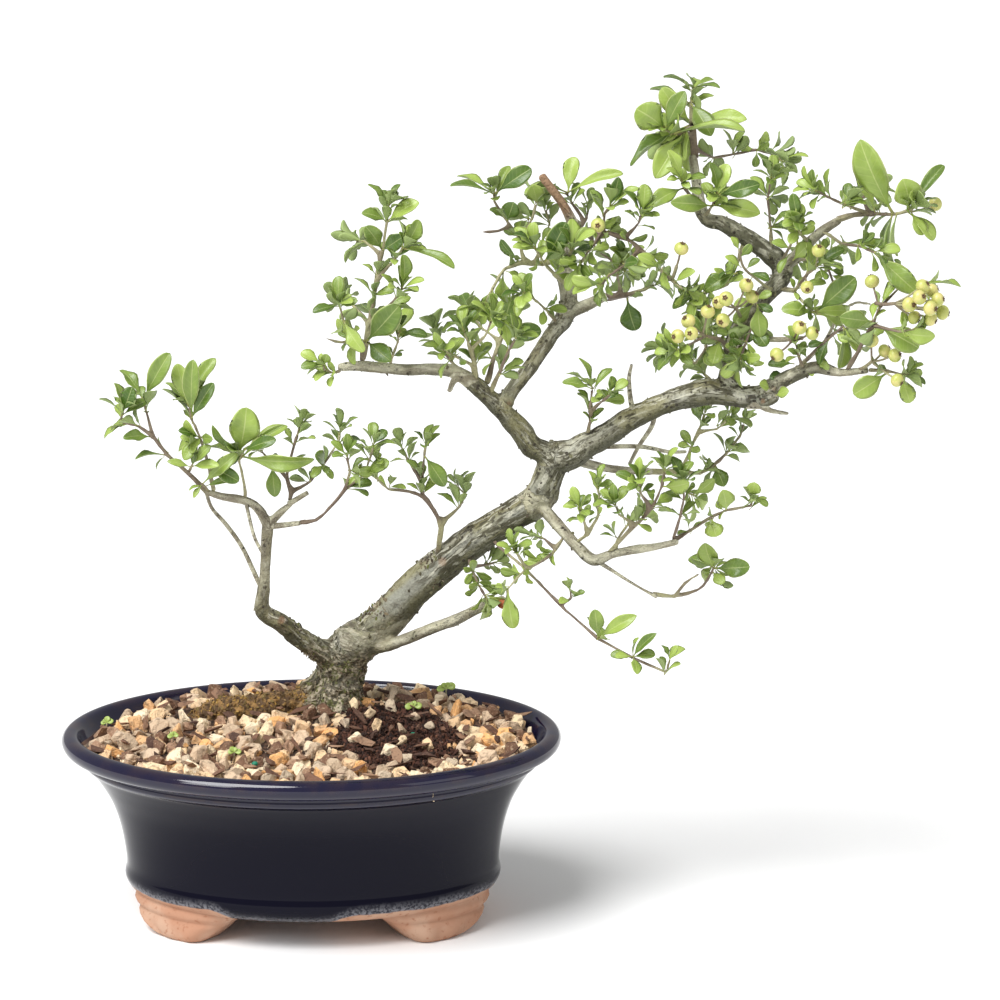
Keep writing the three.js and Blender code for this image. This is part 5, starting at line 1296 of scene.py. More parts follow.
@dataclass
class Wood:
    """The tree's wood: limbs merged and roughened as one skin, with thin bare twigs."""

    voxel: float = 0.00085
    thinnest: float = 1.7
    full_girth: float = 15.0
    twig_girth: float = 0.05
    fibre_stretch: float = 0.22
    cut: tuple[str, ...] = ("left_inner_stub", "left_arm_stub", "brown_stub", "rising_side", "broken_stub",
                            "cut_branch", "limb_end")
    knots: tuple[Knot, ...] = (
        Knot((-15, 16, 141), 4, 1.6, 0.7), Knot((11, 33, 99), 7, 2.2), Knot((212, -12, 253), 3.2, 1.5, 0.8),
        Knot((217, -12, 259), 3, 1.5, 0.8), Knot((4, 36, 117), 6, 1.5), Knot((110, 8, 205), 6, 1.6),
        Knot((62, 15, 170), 5, 1.2, 0.5), Knot((88, 10, 192), 5, 1.1), Knot((186, -6, 258), 4, 1.2),
        Knot((117, 8, 224), 7, 1.4), Knot((94, 4, 248), 5, 1.4, 0.4), Knot((40, 20, 146), 6, 1.3),
        Knot((218, 6, 312), 5, 1.2), Knot((20, 50, 110), 7, 2), Knot((150, 0, 240), 5, 1),
    )
    tufts: tuple[tuple[float, float, float, float], ...] = (
        (33.8, 29, 144, 7.5), (42, 26, 153, 4), (-8.6, 26, 136, 5), (-3, 31, 120, 4), (26, 33, 138, 5),
        (62, 18, 158, 4), (101, 10, 205, 4), (20, 40, 112, 5),
        (54, 20, 171, 6), (57, 18, 177, 5), (88, 12, 196, 4),
    )
    shaded: dict[str, float] = field(default_factory=lambda: {
        "riser": 0.9, "right_arm": 0.8, "limb_end": 0.85, "broken_stub": 0.9, "pruned_shoot": 0.6,
        "behind_a": 0.4, "left_inner_stub": 0.7, "left_arm_stub": 0.7, "left_arm": 0.25, "rising_arm": 0.2,
    })
    samples: list[tuple[Vector, float, Vector, float, float, float]] = field(default_factory=list)

    def limbs(self, shell: Shell, keep: Callable[[float], bool], sides: int) -> None:
        """Adds the limbs whose thickest radius passes a test.

        Args:
            shell: What they are added to.
            keep: The test.
            sides: Corners round each limb.
        """
        for name, points in LIMBS.items():
            if not keep(max(p[3] for p in points)):
                continue
            rows = curve_through(points, 2.0)
            centres = [row(p[:3]) for p in rows]
            radii = [max(p[3], 0.4) * MM for p in rows]
            shell.stem(centres, radii, sides, End.CUT if name in self.cut else End.ROUND)
            run = 0.0
            for i, centre in enumerate(centres):
                tangent = centres[min(i + 1, len(centres) - 1)] - centres[max(i - 1, 0)]
                shade = self.shaded.get(name, 0.0) * smooth_step(0.0, 0.014, run)
                brown = 0.9 * smooth_step(0.004, 0.012, run) if name == "brown_stub" else 0.0
                self.samples.append((centre, radii[i], tangent.normalized(), run, shade, brown))
                run += (centres[min(i + 1, len(centres) - 1)] - centre).length

    def roughen(self, mesh: Mesh) -> None:
        """Pushes the skin in and out by rule, and marks girth, moss and scars.

        Args:
            mesh: The wood's mesh.
        """
        tree = KDTree(len(self.samples))
        for i, sample in enumerate(self.samples):
            tree.insert(sample[0], i)
        tree.balance()
        marks = {name: [] for name in ("girth", "moss", "root", "scar", "lie", "shade")}
        grain = []
        knots = [(row(k.place), k) for k in self.knots]
        moved = []
        for vertex in mesh.vertices:
            place, out = vertex.co.copy(), vertex.normal.copy()
            _, index, _ = tree.find(place)
            centre, thick, tangent, run, shade, brown = self.samples[index]
            radius = thick / MM
            off = place - centre
            level = tangent.cross(Vector((0.0, 0.0, 1.0)))
            level = level.normalized() if level.length > 0.05 else Vector((1.0, 0.0, 0.0))
            fibre = (run + off.dot(tangent)) * self.fibre_stretch
            grain.extend((off.dot(level), off.dot(tangent.cross(level)), fibre))
            strength = min(radius / 7.0, 1.0)
            lump = noise.noise(place * 60.0) * 0.9 + noise.noise(place * 150.0) * 0.55
            crease = noise.turbulence(place * 330.0, 3, False) * 0.5
            base = smooth_step(0.14, 0.098, place.z)
            push = (lump + (noise.noise(place * 260.0) + crease) * (0.35 + 1.1 * base)) * strength
            flute = math.cos(7 * math.atan2(off.y, off.x) + 4 * noise.noise(place * 40.0))
            push += 0.9 * flute * base * smooth_step(6.0, 9.0, radius)
            scar = brown
            for middle, knot in knots:
                far = (place - middle).length / MM / knot.reach
                if far < 2.2:
                    push += knot.rise * (math.exp(-((far - 0.55) ** 2) * 5) - 0.35 * math.exp(-far * far * 8))
                    scar = max(scar, knot.scar * smooth_step(0.62, 0.4, far))
            moved.append(place + out * push * MM)
            marks["girth"].append(radius / self.full_girth)
            patch = 0.5 + 0.8 * noise.noise(place * 90.0)
            foot = smooth_step(0.145, 0.1, place.z + 0.034 * (patch - 0.5)) * (0.6 + patch * 0.45)
            root = smooth_step(0.104, 0.099, place.z) * smooth_step(-0.09, -0.1, place.x)
            marks["moss"].append(min(1.0, foot) * (1.0 - root))
            marks["root"].append(root)
            marks["scar"].append(scar)
            # How far each place looks up; the bark paints highlight on top and shade underneath by it.
            marks["lie"].append(out.z)
            marks["shade"].append(shade)
        mesh.vertices.foreach_set("co", [x for p in moved for x in p])
        for name, values in marks.items():
            store(mesh, name, "FLOAT", values)
        store(mesh, "grain", "FLOAT_VECTOR", grain)
        mesh.update()

    def marked(self, mesh: Mesh, low: float, high: float, thinnest: float, root: bool) -> Mesh:
        """Copies the skin with the faces of one stretch marked to bear grains.

        Args:
            mesh: The skin.
            low: The stretch's lowest height in millimetres.
            high: Its greatest height.
            thinnest: The thinnest limb that counts, in millimetres.
            root: Whether the surface root is marked, or all but it.

        Returns:
            The marked copy.
        """
        copy = mesh.copy()
        girth = [value.value * self.full_girth for value in mesh.attributes["girth"].data]
        rooty = [value.value > 0.5 for value in mesh.attributes["root"].data]
        marks = [low * MM < p.center.z < high * MM and girth[p.vertices[0]] > thinnest
                 and rooty[p.vertices[0]] is root for p in copy.polygons]
        store(copy, "top", "BOOLEAN", marks, "FACE")
        return copy

    def build(self, scatter: Scatter) -> None:
        """Merges the limbs, roughens the bark and adds flakes, spurs and the bare twigs.

        Args:
            scatter: What strews the flakes and spurs.
        """
        thick = Shell()
        self.limbs(thick, lambda radius: radius >= self.thinnest, 24)
        skin = new_object("wood_skin", thick.mesh("wood_skin"))
        merge = skin.modifiers.new("merge", "REMESH")
        merge.mode, merge.voxel_size, merge.use_smooth_shade = "VOXEL", self.voxel, True
        soften = skin.modifiers.new("soften", "SMOOTH")
        soften.factor, soften.iterations = 0.5, 3
        piece = baked(skin, "tree_wood")
        self.roughen(piece.data)
        dress(piece, BARK)
        hand_over(piece, "bark", "trunk_and_branches")
        ragged = piece.data.copy()
        marks = [any((p.center - row(tuft)).length < tuft[3] * MM for tuft in self.tufts)
                 for p in ragged.polygons]
        store(ragged, "top", "BOOLEAN", marks, "FACE")
        grains = Grains(0.0017, (0.0009, 0.0007, 0.0006), (0.0044, 0.002, 0.0012), 0.001, 0.0, 6.28, 29)
        hand_over(scatter.strew("bark_tufts", ragged, grains, FLAKE), "bark")
        for name, low, high, thinnest, root, grains, finish in (
            ("bark_flakes", 88, 119, 3.5, False,
             Grains(0.002, (0.0008, 0.0007, 0.0005), (0.0034, 0.0022, 0.0012), 0.001, 0.0, 6.28, 17), FLAKE),
            ("root_moss", 84, 110, 2.0, True,
             Grains(0.0014, (0.0008, 0.0008, 0.0006), (0.0032, 0.0024, 0.0018), 0.001, 0.0, 6.28, 23),
             ROOT_MOSS),
            ("bark_spurs", 112, 345, 2.4, False,
             Grains(0.0068, (0.0008, 0.0008, 0.0008), (0.0031, 0.0024, 0.002), 0.001, 0.0, 6.28, 19), SPUR),
        ):
            bed = self.marked(piece.data, low, high, thinnest, root)
            hand_over(scatter.strew(name, bed, grains, finish), "bark")
        thin = Shell()
        self.limbs(thin, lambda radius: radius < self.thinnest, 8)
        twigs = new_object("bare_twigs", thin.mesh("bare_twigs"))
        store(twigs.data, "girth", "FLOAT", [self.twig_girth] * len(twigs.data.vertices))
        store(twigs.data, "grain", "FLOAT_VECTOR", [x for v in twigs.data.vertices for x in v.co])
        dress(twigs, BARK)
        hand_over(twigs, "bark")


# Leaves

BLADES = (("pointed", 1.34, 0.62, 0.06), ("round", 1.6, 0.44, 0.04), ("wavy", 1.45, 0.5, 0.12))
LARGE_LEAF = 0.015


def leaf_blade(name: str, widest: float, blunt: float, wave: float, large: bool = False) -> Mesh:
    """Builds one leaf a metre long and wide, on a short stalk, folded and arched as the solids are.

    Args:
        name: The mesh's name.
        widest: The power that moves the widest place towards the tip.
        blunt: The power that fills out the tip: the lower, the rounder.
        wave: The margin's ripple.
        large: Whether it is for a large leaf, with more sections.

    Returns:
        The closed blade's mesh, with its own map named leaf.
    """
    rows = [0.0, 0.09, 0.17, 0.32, 0.52, 0.72, 0.87, 0.96]
    cols = [-1.0, -0.5, 0.0, 0.5, 1.0]
    if large:
        rows = [0.0, 0.09, 0.14, 0.21, 0.3, 0.4, 0.51, 0.62, 0.72, 0.81, 0.89, 0.945, 0.98]
        cols = [-1.0, -0.7, -0.36, 0.0, 0.36, 0.7, 1.0]
    verts: list[Place] = []
    places: list[tuple[float, float]] = []
    above, below = [], []
    for i, t in enumerate(rows):
        blade = max((t - 0.07) / 0.93, 0.0)
        power = 1.12 + (blunt - 1.12) * smooth_step(0.22, 0.8, t)
        half = max(0.5 * math.sin(math.pi * blade**widest) ** power, 0.05)
        top, bottom = [], []
        for a in cols:
            x = a * half * (1 + 0.03 * math.sin(9 * t + 2 * a)) + 0.03 * math.sin(math.pi * t) * wave * 10
            z = 0.28 * t * (1 - t) + 0.16 * abs(a) ** 1.2 * half + wave * abs(a) * math.sin(11 * t + a) * half
            z -= 0.05 * t**3
            edge = abs(a) == 1.0
            thick = 0.0 if edge else (0.018 if a == 0 else 0.009) if i else 0.02
            top.append(len(verts))
            verts.append((x, t, z + thick))
            places.append((a, t))
            if edge:
                bottom.append(top[-1])
            else:
                bottom.append(len(verts))
                verts.append((x, t, z - thick))
                places.append((a, t))
        above.append(top)
        below.append(bottom)
    tip = len(verts)
    verts.append((0.0, 1.0, -0.05))
    places.append((0.0, 1.0))
    faces, maps = [], []

    def face(corners: Sequence[int], under: bool) -> None:
        """Adds a face and its corners' places on the leaf's map."""
        faces.append(tuple(corners))
        maps.extend((places[c][0] * 0.5 + 0.5, places[c][1] + (2.0 if under else 0.0)) for c in corners)

    for i in range(len(rows) - 1):
        for k in range(len(cols) - 1):
            a, b, c, d = above[i][k], above[i][k + 1], above[i + 1][k + 1], above[i + 1][k]
            face((a, b, c, d), False)
            a, b, c, d = below[i][k], below[i][k + 1], below[i + 1][k + 1], below[i + 1][k]
            face((d, c, b, a), True)
    for k in range(len(cols) - 1):
        face((above[-1][k], above[-1][k + 1], tip), False)
        face((tip, below[-1][k + 1], below[-1][k]), True)
    face([*below[0], *reversed(above[0][1:-1])], True)
    mesh = bpy.data.meshes.new(name)
    mesh.from_pydata(verts, [], faces)
    mesh.uv_layers.new(name="leaf").data.foreach_set("uv", [x for uv in maps for x in uv])
    mesh.polygons.foreach_set("use_smooth", [True] * len(faces))
    return mesh


@dataclass
class Leaf:
    """A leaf read from the frame: base, tip, the way its face turns, and its width, in metres."""

    base: Vector
    tip: Vector
    up: Vector
    width: float

    @property
    def length(self) -> float:
        """The leaf's length."""
        return (self.tip - self.base).length

    def copy(self, tone: float, form: int, roll: float = 0.0) -> Copy:
        """Makes the leaf a copy of a blade.

        Args:
            tone: From old at 0 to fresh at 1.
            form: Which blade.
            roll: How far it is rolled round its length, in radians.

        Returns:
            The copy.
        """
        along = self.tip - self.base
        size = Vector((self.width * 1.05, self.length, self.length))
        turn = Quaternion(along, roll) @ facing(along, self.up)
        return Copy(self.base, turn, size, tone, form + len(BLADES) * (self.length > LARGE_LEAF))


def blade_forms() -> list[Mesh]:
    """Builds the three kinds of blade, small and then large."""
    return [leaf_blade(f"{name}_{size}", widest, blunt, wave, size == "large")
            for size in ("small", "large") for name, widest, blunt, wave in BLADES]


class LeafReader:
    """Reads the leaves of one shoot's solid, and takes them off to leave its twigs."""

    THICK = 0.00084
    SLACK = 0.00004

    def __init__(self, node: str) -> None:
        """Loads a merged copy of the node's mesh."""
        self.work = bmesh.new()
        self.work.from_mesh(frame["nodes"][node].data)
        bmesh.ops.remove_doubles(self.work, verts=self.work.verts, dist=1e-5)

    @staticmethod
    def near(vertex: BMVert) -> list[BMVert]:
        """Lists the vertices joined to one by an edge."""
        return [edge.other_vert(vertex) for edge in vertex.link_edges]

    def section(self, tip: BMVert) -> list[BMVert] | None:
        """Finds the last cross-section of the leaf that ends at a vertex.

        Args:
            tip: The vertex that may be a tip.

        Returns:
            Its left, top, right and bottom corners, or None where it is no tip.
        """
        around = self.near(tip)
        if len(around) != 4 or len(tip.link_faces) != 4:
            return None
        partner = [v for v in around[1:] if v not in self.near(around[0])]
        if len(partner) != 1:
            return None
        pairs = [(around[0], partner[0]), tuple(v for v in around[1:] if v is not partner[0])]
        pairs.sort(key=lambda pair: (pair[0].co - pair[1].co).length)
        (top, bottom), (left, right) = pairs
        even = abs((tip.co - left.co).length - (tip.co - right.co).length) < self.SLACK
        if abs((top.co - bottom.co).length - self.THICK) > self.SLACK or not even:
            return None
        return [left, top, right, bottom]

    def before(self, section: list, used: set) -> list | None:
        """Finds the cross-section before one, towards the twig.

        Args:
            section: The known section.
            used: Vertices already taken.

        Returns:
            The earlier section, or None where the leaf's root comes next.
        """
        taken = used | set(section)
        sides = []
        for corner in (section[0], section[2]):
            left = [v for v in self.near(corner) if v not in taken]
            if len(left) != 1:
                return None
            sides.append(left[0])
        ends = []
        for corner in (section[1], section[3]):
            left = [v for v in self.near(corner) if v not in taken and v not in sides]
            if len(left) != 1:
                return None
            ends.append(left[0])
        if abs((ends[0].co - ends[1].co).length - self.THICK) > self.SLACK:
            return None
        return [sides[0], ends[0], sides[1], ends[1]]

    def leaves(self) -> list[Leaf]:
        """Reads every leaf and deletes its faces.

        Returns:
            The leaves.
        """
        found, gone = [], set()
        for tip in list(self.work.verts):
            section = self.section(tip)
            if not section:
                continue
            used, sections = {tip}, [section]
            while True:
                earlier = self.before(sections[-1], used)
                used |= set(sections[-1])
                if not earlier:
                    break
                sections.append(earlier)
            roots = {v for corner in sections[-1] for v in self.near(corner)} - used
            places = sorted(v.co[:] for v in roots)
            base = sum((Vector(place) for place in places), Vector()) / max(len(roots), 1)
            chord = tip.co - base
            wide = 0.0
            for left, top, right, bottom in sections:
                part = ((top.co + bottom.co) / 2 - base).dot(chord) / chord.length_squared
                shape = math.sin(math.pi * min(max(part, 0.05), 0.98) ** 1.3) ** 0.75
                wide = max(wide, (left.co - right.co).length / shape)
            left, top, right, bottom = (v.co for v in sections[0])
            up = top - bottom
            if up.dot(left + right - top - bottom) < 0:
                up.negate()
            found.append(Leaf(base, tip.co.copy(), up, wide))
            gone |= used
        bmesh.ops.delete(self.work, geom=list(gone), context="VERTS")
        return found

    def twigs(self, fruit: Sequence[Vector]) -> Mesh:
        """Closes what is left, without any berry, as the twigs' mesh.

        Args:
            fruit: Middles of the berries that the solid bears.

        Returns:
            The mesh.
        """
        round_it = [v for v in self.work.verts if any((v.co - c).length < 3.6 * MM for c in fruit)]
        bmesh.ops.delete(self.work, geom=round_it, context="VERTS")
        edges = [e for e in self.work.edges if len(e.link_faces) == 1]
        bmesh.ops.holes_fill(self.work, edges=edges, sides=0)
        bmesh.ops.triangulate(self.work, faces=self.work.faces)
        bmesh.ops.recalc_face_normals(self.work, faces=self.work.faces)
        mesh = bpy.data.meshes.new("twigs")
        self.work.to_mesh(mesh)
        self.work.free()
        return mesh


@dataclass
class Foliage:
    """The leafy shoots: every leaf of the solids as a fine blade, with young leaves between them."""

    fatten: float = 0.00016
    knobs: float = 0.0005
    shortest: float = 0.0065
    apart: float = 0.0052
    twig_reach: float = 0.008
    bud: Place = (91, -2, 153.8)
    bud_room: float = 0.008
    rosettes: tuple[tuple[float, int, float, float], ...] = (
        (0.0095, 5, 0.85, 1.5), (0.014, 4, 0.65, 1.1), (1.0, 2, 0.4, 0.75),
    )
    lush: tuple[tuple[str, float], ...] = (
        ("riser", 2.6), ("fork", 2.0), ("right", 1.8), ("far", 1.3), ("limb", 1.5), ("front", 1.4),
        ("side", 1.4), ("rise", 1.3), ("topleft", 1.2),
    )

    def round_twigs(self, mesh: Mesh) -> Mesh:
        """Rounds the three-sided twigs.

        Args:
            mesh: The twigs as the solids have them.

        Returns:
            The rounded mesh.
        """
        source = new_object("twig_source", mesh)
        source.modifiers.new("round", "SUBSURF").levels = 1
        made = baked(source, "twig_round")
        out = made.data
        for vertex, normal in [(v, v.normal.copy()) for v in out.vertices]:
            vertex.co += normal * (self.fatten + self.knobs * max(noise.noise(vertex.co * 380.0), -0.3))
        out.polygons.foreach_set("use_smooth", [True] * len(out.polygons))
        bpy.data.objects.remove(made)
        return out

    def lushness(self, node: str) -> float:
        """Gives how richly a shoot is set with young leaves."""
        return next((share for start, share in self.lush if node.startswith("shoot_" + start)), 1.0)

    def young_leaves(
        self, leaves: Sequence[Leaf], twigs: Mesh, seed: int, wood: BVHTree, lush: float
    ) -> list[Leaf]:
        """Adds small leaves in the same rosettes, turned between those of the solids.

        Args:
            leaves: The shoot's leaves.
            twigs: The shoot's twigs, which give the way that each rosette points.
            seed: Fixes the numbers drawn.
            wood: The wood's skin, which no leaf may cross.
            lush: How richly the shoot is set.

        Returns:
            The young leaves.
        """
        draw = np.random.default_rng(seed)
        spots = np.array([v.co for v in twigs.vertices], float)
        tips = [leaf.tip for leaf in leaves]
        made = []
        for leaf in leaves:
            tries, low, high = next(rule[1:] for rule in self.rosettes if leaf.length < rule[0])
            for _ in range(round(tries * lush)):
                turn, lean, size, slip = draw.random(4)
                near = spots[np.linalg.norm(spots - np.array(leaf.base), axis=1) < self.twig_reach]
                if len(near) < 3:
                    continue
                _, _, axes = np.linalg.svd(near - near.mean(0))
                axis = Vector(axes[0])
                chord = leaf.tip - leaf.base
                if axis.dot(chord) < 0:
                    axis.negate()
                side = (chord - axis * chord.dot(axis)).normalized()
                side = Quaternion(axis, 0.7 + 4.9 * turn) @ side
                tilt = 0.5 + 0.95 * lean
                along = (axis * math.cos(tilt) + side * math.sin(tilt) + Vector((0, 0, 0.2))).normalized()
                length = max(leaf.length * (low + (high - low) * size), self.shortest)
                base = leaf.base + axis * (slip - 0.6) * 0.004
                tip = base + along * length
                outside = any(tip[k] < CAD_BOX[0][k] or tip[k] > CAD_BOX[1][k] for k in range(3))
                crowded = min((tip - other).length for other in tips) < self.apart
                if outside or crowded or (tip - row(self.bud)).length < self.bud_room:
                    continue
                if wood.ray_cast(base + along * MM, along, length)[0] is not None:
                    continue
                tips.append(tip)
                made.append(Leaf(base, tip, axis + Vector((0, 0, 0.6)), length * (0.4 + 0.14 * slip)))
        return made

    def build(self, fruit: Sequence[Vector]) -> None:
        """Builds one piece for each leafy shoot.

        Args:
            fruit: Middles of all berries.
        """
        copier = Copier("leaves_on_twigs", blade_forms(), LEAF)
        work = bmesh.new()
        work.from_mesh(frame["nodes"]["trunk_and_branches"].data)
        wood = BVHTree.FromBMesh(work)
        total = 0
        for node in sorted(n for n in frame["nodes"] if n.startswith("shoot_")):
            reader = LeafReader(node)
            leaves = reader.leaves()
            twigs = reader.twigs(fruit)
            seed = zlib.crc32(node.encode())
            small = self.young_leaves(leaves, twigs, seed, wood, self.lushness(node))
            draw = np.random.default_rng(seed + 1)
            copies = [
                leaf.copy(draw.random() * 0.9, int(draw.integers(len(BLADES))), draw.normal() * 0.2)
                for leaf in leaves]
            copies += [
                leaf.copy(0.2 + draw.random() * 0.8, int(draw.choice([0, 1, 1, 2])), draw.normal() * 0.35)
                for leaf in small]
            piece = copier.piece("leafy_" + node, copies, self.round_twigs(twigs), TWIG)
            hand_over(piece, "foliage", node)
            total += len(copies)
            LOG.info("%s: %d leaves of the solid, %d young", node, len(leaves), len(small))
        work.free()
        copier.clear()
        LOG.info("leaves in all: %d", total)


# Each late shoot has its stem's points, and its leaves with base, tip and width, all in millimetres.
LATE_SHOOTS = (
    ([(-46.8, -7, 209), (-48.2, -9.5, 211.8), (-49.6, -11, 213.6)], [
        ((-49.3, -10.7, 213.4), (-32.7, -16.7, 229.2), 6.4), ((-48.2, -9.7, 212), (-33, -14.7, 217), 3.9),
        ((-49.4, -10.8, 213.4), (-53.4, -13.8, 207.5), 2.6),
        ((-48.8, -10.2, 212.7), (-55.5, -14.2, 211.3), 2.4)
    ]),
    ([(-55.2, -10.5, 219.8), (-54.4, -13, 221.8), (-53.5, -15, 223.5)], [
        ((-53.5, -15, 223.5), (-44.8, -20, 233.8), 5.5), ((-53.9, -13.8, 222.4), (-40.8, -20.8, 224.7), 5.3),
        ((-54.3, -13.4, 222.1), (-65, -16.4, 225.7), 3.7), ((-53.7, -14.4, 223), (-51.4, -18.4, 230.2), 2.9)
    ]),
    ([(-32.4, -6.5, 224.7), (-31.3, -9, 226.7), (-29.9, -11, 229.4)], [
        ((-30.9, -9.8, 227.8), (-44.4, -13.8, 241.5), 5.1), ((-30.6, -10, 228.1), (-38.3, -16, 234.7), 3.9),
        ((-29.7, -11, 229.4), (-14.6, -18, 236.3), 6.6), ((-30.1, -11, 229.4), (-10.8, -13, 242.2), 2.6),
        ((-30.9, -9.4, 227.1), (-36.6, -15.4, 223.6), 2.9)
    ]),
    ([(219.9, 10, 312.6), (222.5, 3, 319.6), (225.5, -3, 328), (226.1, -5, 335.8)], [
        ((227.5, -1.8, 325.5), (222.7, -5.8, 341.4), 10), ((226, 3.7, 316.7), (233.2, 0.7, 325), 7.9),
        ((226.1, -3.2, 328.4), (235.7, -1.2, 333.8), 4.3), ((224.8, 0.6, 322.5), (215.7, -1.4, 326.4), 4.7),
        ((225.8, -4.4, 333.5), (218.8, -1.4, 335.2), 3.9), ((226.2, -5, 335.8), (228.9, -6, 342.3), 3.6),
        ((224.6, 2.4, 320.1), (219.1, -2.6, 311.9), 4.3)
    ]),
    ([(225.3, 11, 316.1), (232.8, 6, 322.7), (237.7, 0, 319), (241.8, -4, 314), (243.9, -6, 308.6)], [
        ((238.2, 0, 319.4), (232.2, -3, 314.7), 3.6), ((238.5, 0, 320.1), (240.9, 1, 327.4), 3.9),
        ((240.2, -2, 316.8), (246.9, -5, 320.9), 3.6), ((241.8, -4, 314), (235.7, -7, 309.5), 3.6),
        ((242.2, -4.2, 313.6), (249.1, -5.2, 312.4), 3.6), ((243.7, -5.8, 309.3), (241.6, -8.8, 302.6), 3.9),
        ((243.9, -5.8, 308.9), (250.4, -7.8, 307.1), 3.6), ((240.5, -2.4, 316.4), (233.7, -6.4, 322.2), 3.2),
        ((235.2, 3, 321.2), (230.8, 5, 326.8), 3.9), ((242.8, -5, 311.4), (249.1, -3, 308.4), 3.2),
        ((239.3, -1.2, 318), (243.8, -5.2, 315.9), 3.2)
    ]),
    ([(209.5, 8.5, 294), (208, 3, 296.7), (207.5, -6, 300.4), (208.5, -10, 298.9)], [
        ((208.9, -10, 298.6), (210.3, -14, 283.6), 8.2), ((208.1, 2.1, 296.9), (198.5, -3.9, 288.9), 6.4),
        ((208, -7.6, 299.9), (215.4, -10.6, 304), 4.3), ((207.1, -4.2, 299.7), (198.2, -7.2, 297.4), 4.7),
        ((208.2, -9.6, 298.8), (215.8, -14.6, 296.1), 4.3)
    ]),
    ([(217, 9, 303), (215.3, 3, 303.5), (208.6, -2, 309.2), (202.6, -5, 315), (200.3, -7, 323.3)], [
        ((199.9, -5, 312.3), (184.5, -8, 304.5), 8.2), ((201.6, -5, 314.5), (194, -7, 320.5), 4.7),
        ((205.2, -3.5, 312.1), (214.5, -7.5, 309.5), 5), ((200.7, -6.2, 319.6), (205.8, -8.2, 326), 4.3),
        ((200.3, -6.8, 322.7), (196.5, -7.8, 329.6), 4.3), ((207.1, -2.6, 310.2), (202.9, -8.6, 302.2), 4.7),
        ((203.8, -4.4, 313.7), (210.1, -3.4, 318.8), 4.3), ((197.7, -5, 313.8), (190.7, -11, 310.6), 3.9)
    ]),
    ([(224.9, -6, 262.7), (229.9, -9, 269.2), (235.8, -11, 276.8), (241.7, -12, 282.3),
      (248.6, -13, 288.7)], [
        ((248.6, -13, 288.4), (247.6, -16, 269.3), 8.6), ((242.8, -12.1, 282.9), (237.2, -16.1, 271.4), 5.4),
        ((240.4, -11.8, 281), (232.5, -13.8, 279.6), 3.9), ((226.7, -8.4, 270), (214.2, -10.4, 270.4), 5.4),
        ((223.1, -6, 264.2), (215.1, -9, 263.7), 5), ((235.8, -11, 276.8), (242, -16, 268.7), 4.3),
        ((248.6, -13, 288.4), (256.7, -15, 276.6), 4.7), ((245.2, -12.5, 285.4), (250.4, -17.5, 282), 3.9),
        ((232.4, -9.8, 272.6), (227.7, -11.8, 280), 3.6), ((231.5, -9.6, 271.7), (235, -12.6, 265.1), 3.6)
    ]),
    ([(199.1, 2, 269.9), (200.3, -6, 275.9), (201.8, -10, 279.6)], [
        ((201.8, -9.2, 278.8), (205.3, -12.2, 272.2), 5), ((200.9, -6.8, 276.5), (195.3, -10.8, 270.5), 4.7),
        ((201.8, -10, 279.6), (206.9, -12, 284.6), 4.3), ((201.4, -9.6, 279.2), (197.4, -10.6, 285.5), 4.7),
        ((200.6, -6.8, 276.5), (194.3, -10.8, 279.1), 3.9)
    ]),
)


@dataclass
class LateShoots:
    """Short leafy shoots in front of the riser and at the left, from their stems' and leaves' places."""

    girth: float = 0.55

    def build(self) -> None:
        """Builds the shoots as one piece."""
        copier = Copier("late_leaves", blade_forms(), LEAF)
        draw = np.random.default_rng(77)
        stems, copies = Shell(), []
        for path, leaves in LATE_SHOOTS:
            rows = curve_through([(*point, 0) for point in path], 2.5)
            stems.stem([row(r) for r in rows], np.linspace(self.girth * 1.4, self.girth, len(rows)) * MM, 7)
            for base, tip, width in leaves:
                up = Vector((0.5 * draw.normal(), -0.8, 0.5))
                leaf = Leaf(row(base), row(tip), up, width * MM)
                copies.append(leaf.copy(draw.random() * 0.9, int(draw.integers(len(BLADES)))))
        hand_over(copier.piece("leafy_late_shoots", copies, stems.mesh("late_stems"), TWIG), "foliage")
        copier.clear()


# Berries

BUNCHES = {
    "right": ((261, -34, 303), (269, -41, 304), [(281, -48, 313), (279, -54, 309), (286, -42, 310),
        (288, -48, 307), (275, -50, 305), (278, -44, 298), (284, -54, 304), (291, -42, 300),
        (285, -48, 298)]),
    "lower_right": ((256, -17, 269), (261, -24, 274), [(260, -30, 285), (267, -24, 279), (271, -30, 278),
        (272, -33, 267)]),
    "middle": ((224, -15, 283), (224, -22, 283), [(227, -30, 291), (233, -28, 288), (217, -28, 278)]),
    "left_a": ((185, -18, 285), (183, -24, 287), [(176, -30, 294), (171, -36, 288), (177, -40, 290),
        (185, -28, 298)]),
    "left_b": ((204, 7, 287), (199, -12, 297), [(190, -26, 302), (193, -34, 305), (192, -28, 294),
        (203, -20, 309), (206, -16, 303)]),
    "single_front": ((169, -12, 310), (171, -16, 317), [(173, -20, 326)]),
    "single_centre": ((137, 12, 333), (136, 4, 334), [(135, -8, 335)]),
}
LONE_BERRIES = (((279, -13, 342), (291, -2, 344)), ((263, -34, 301), (260, -28, 312)),
                ((231, -10, 311), (231, -20, 308)), ((235, -13, 315), (236, -20, 325)))


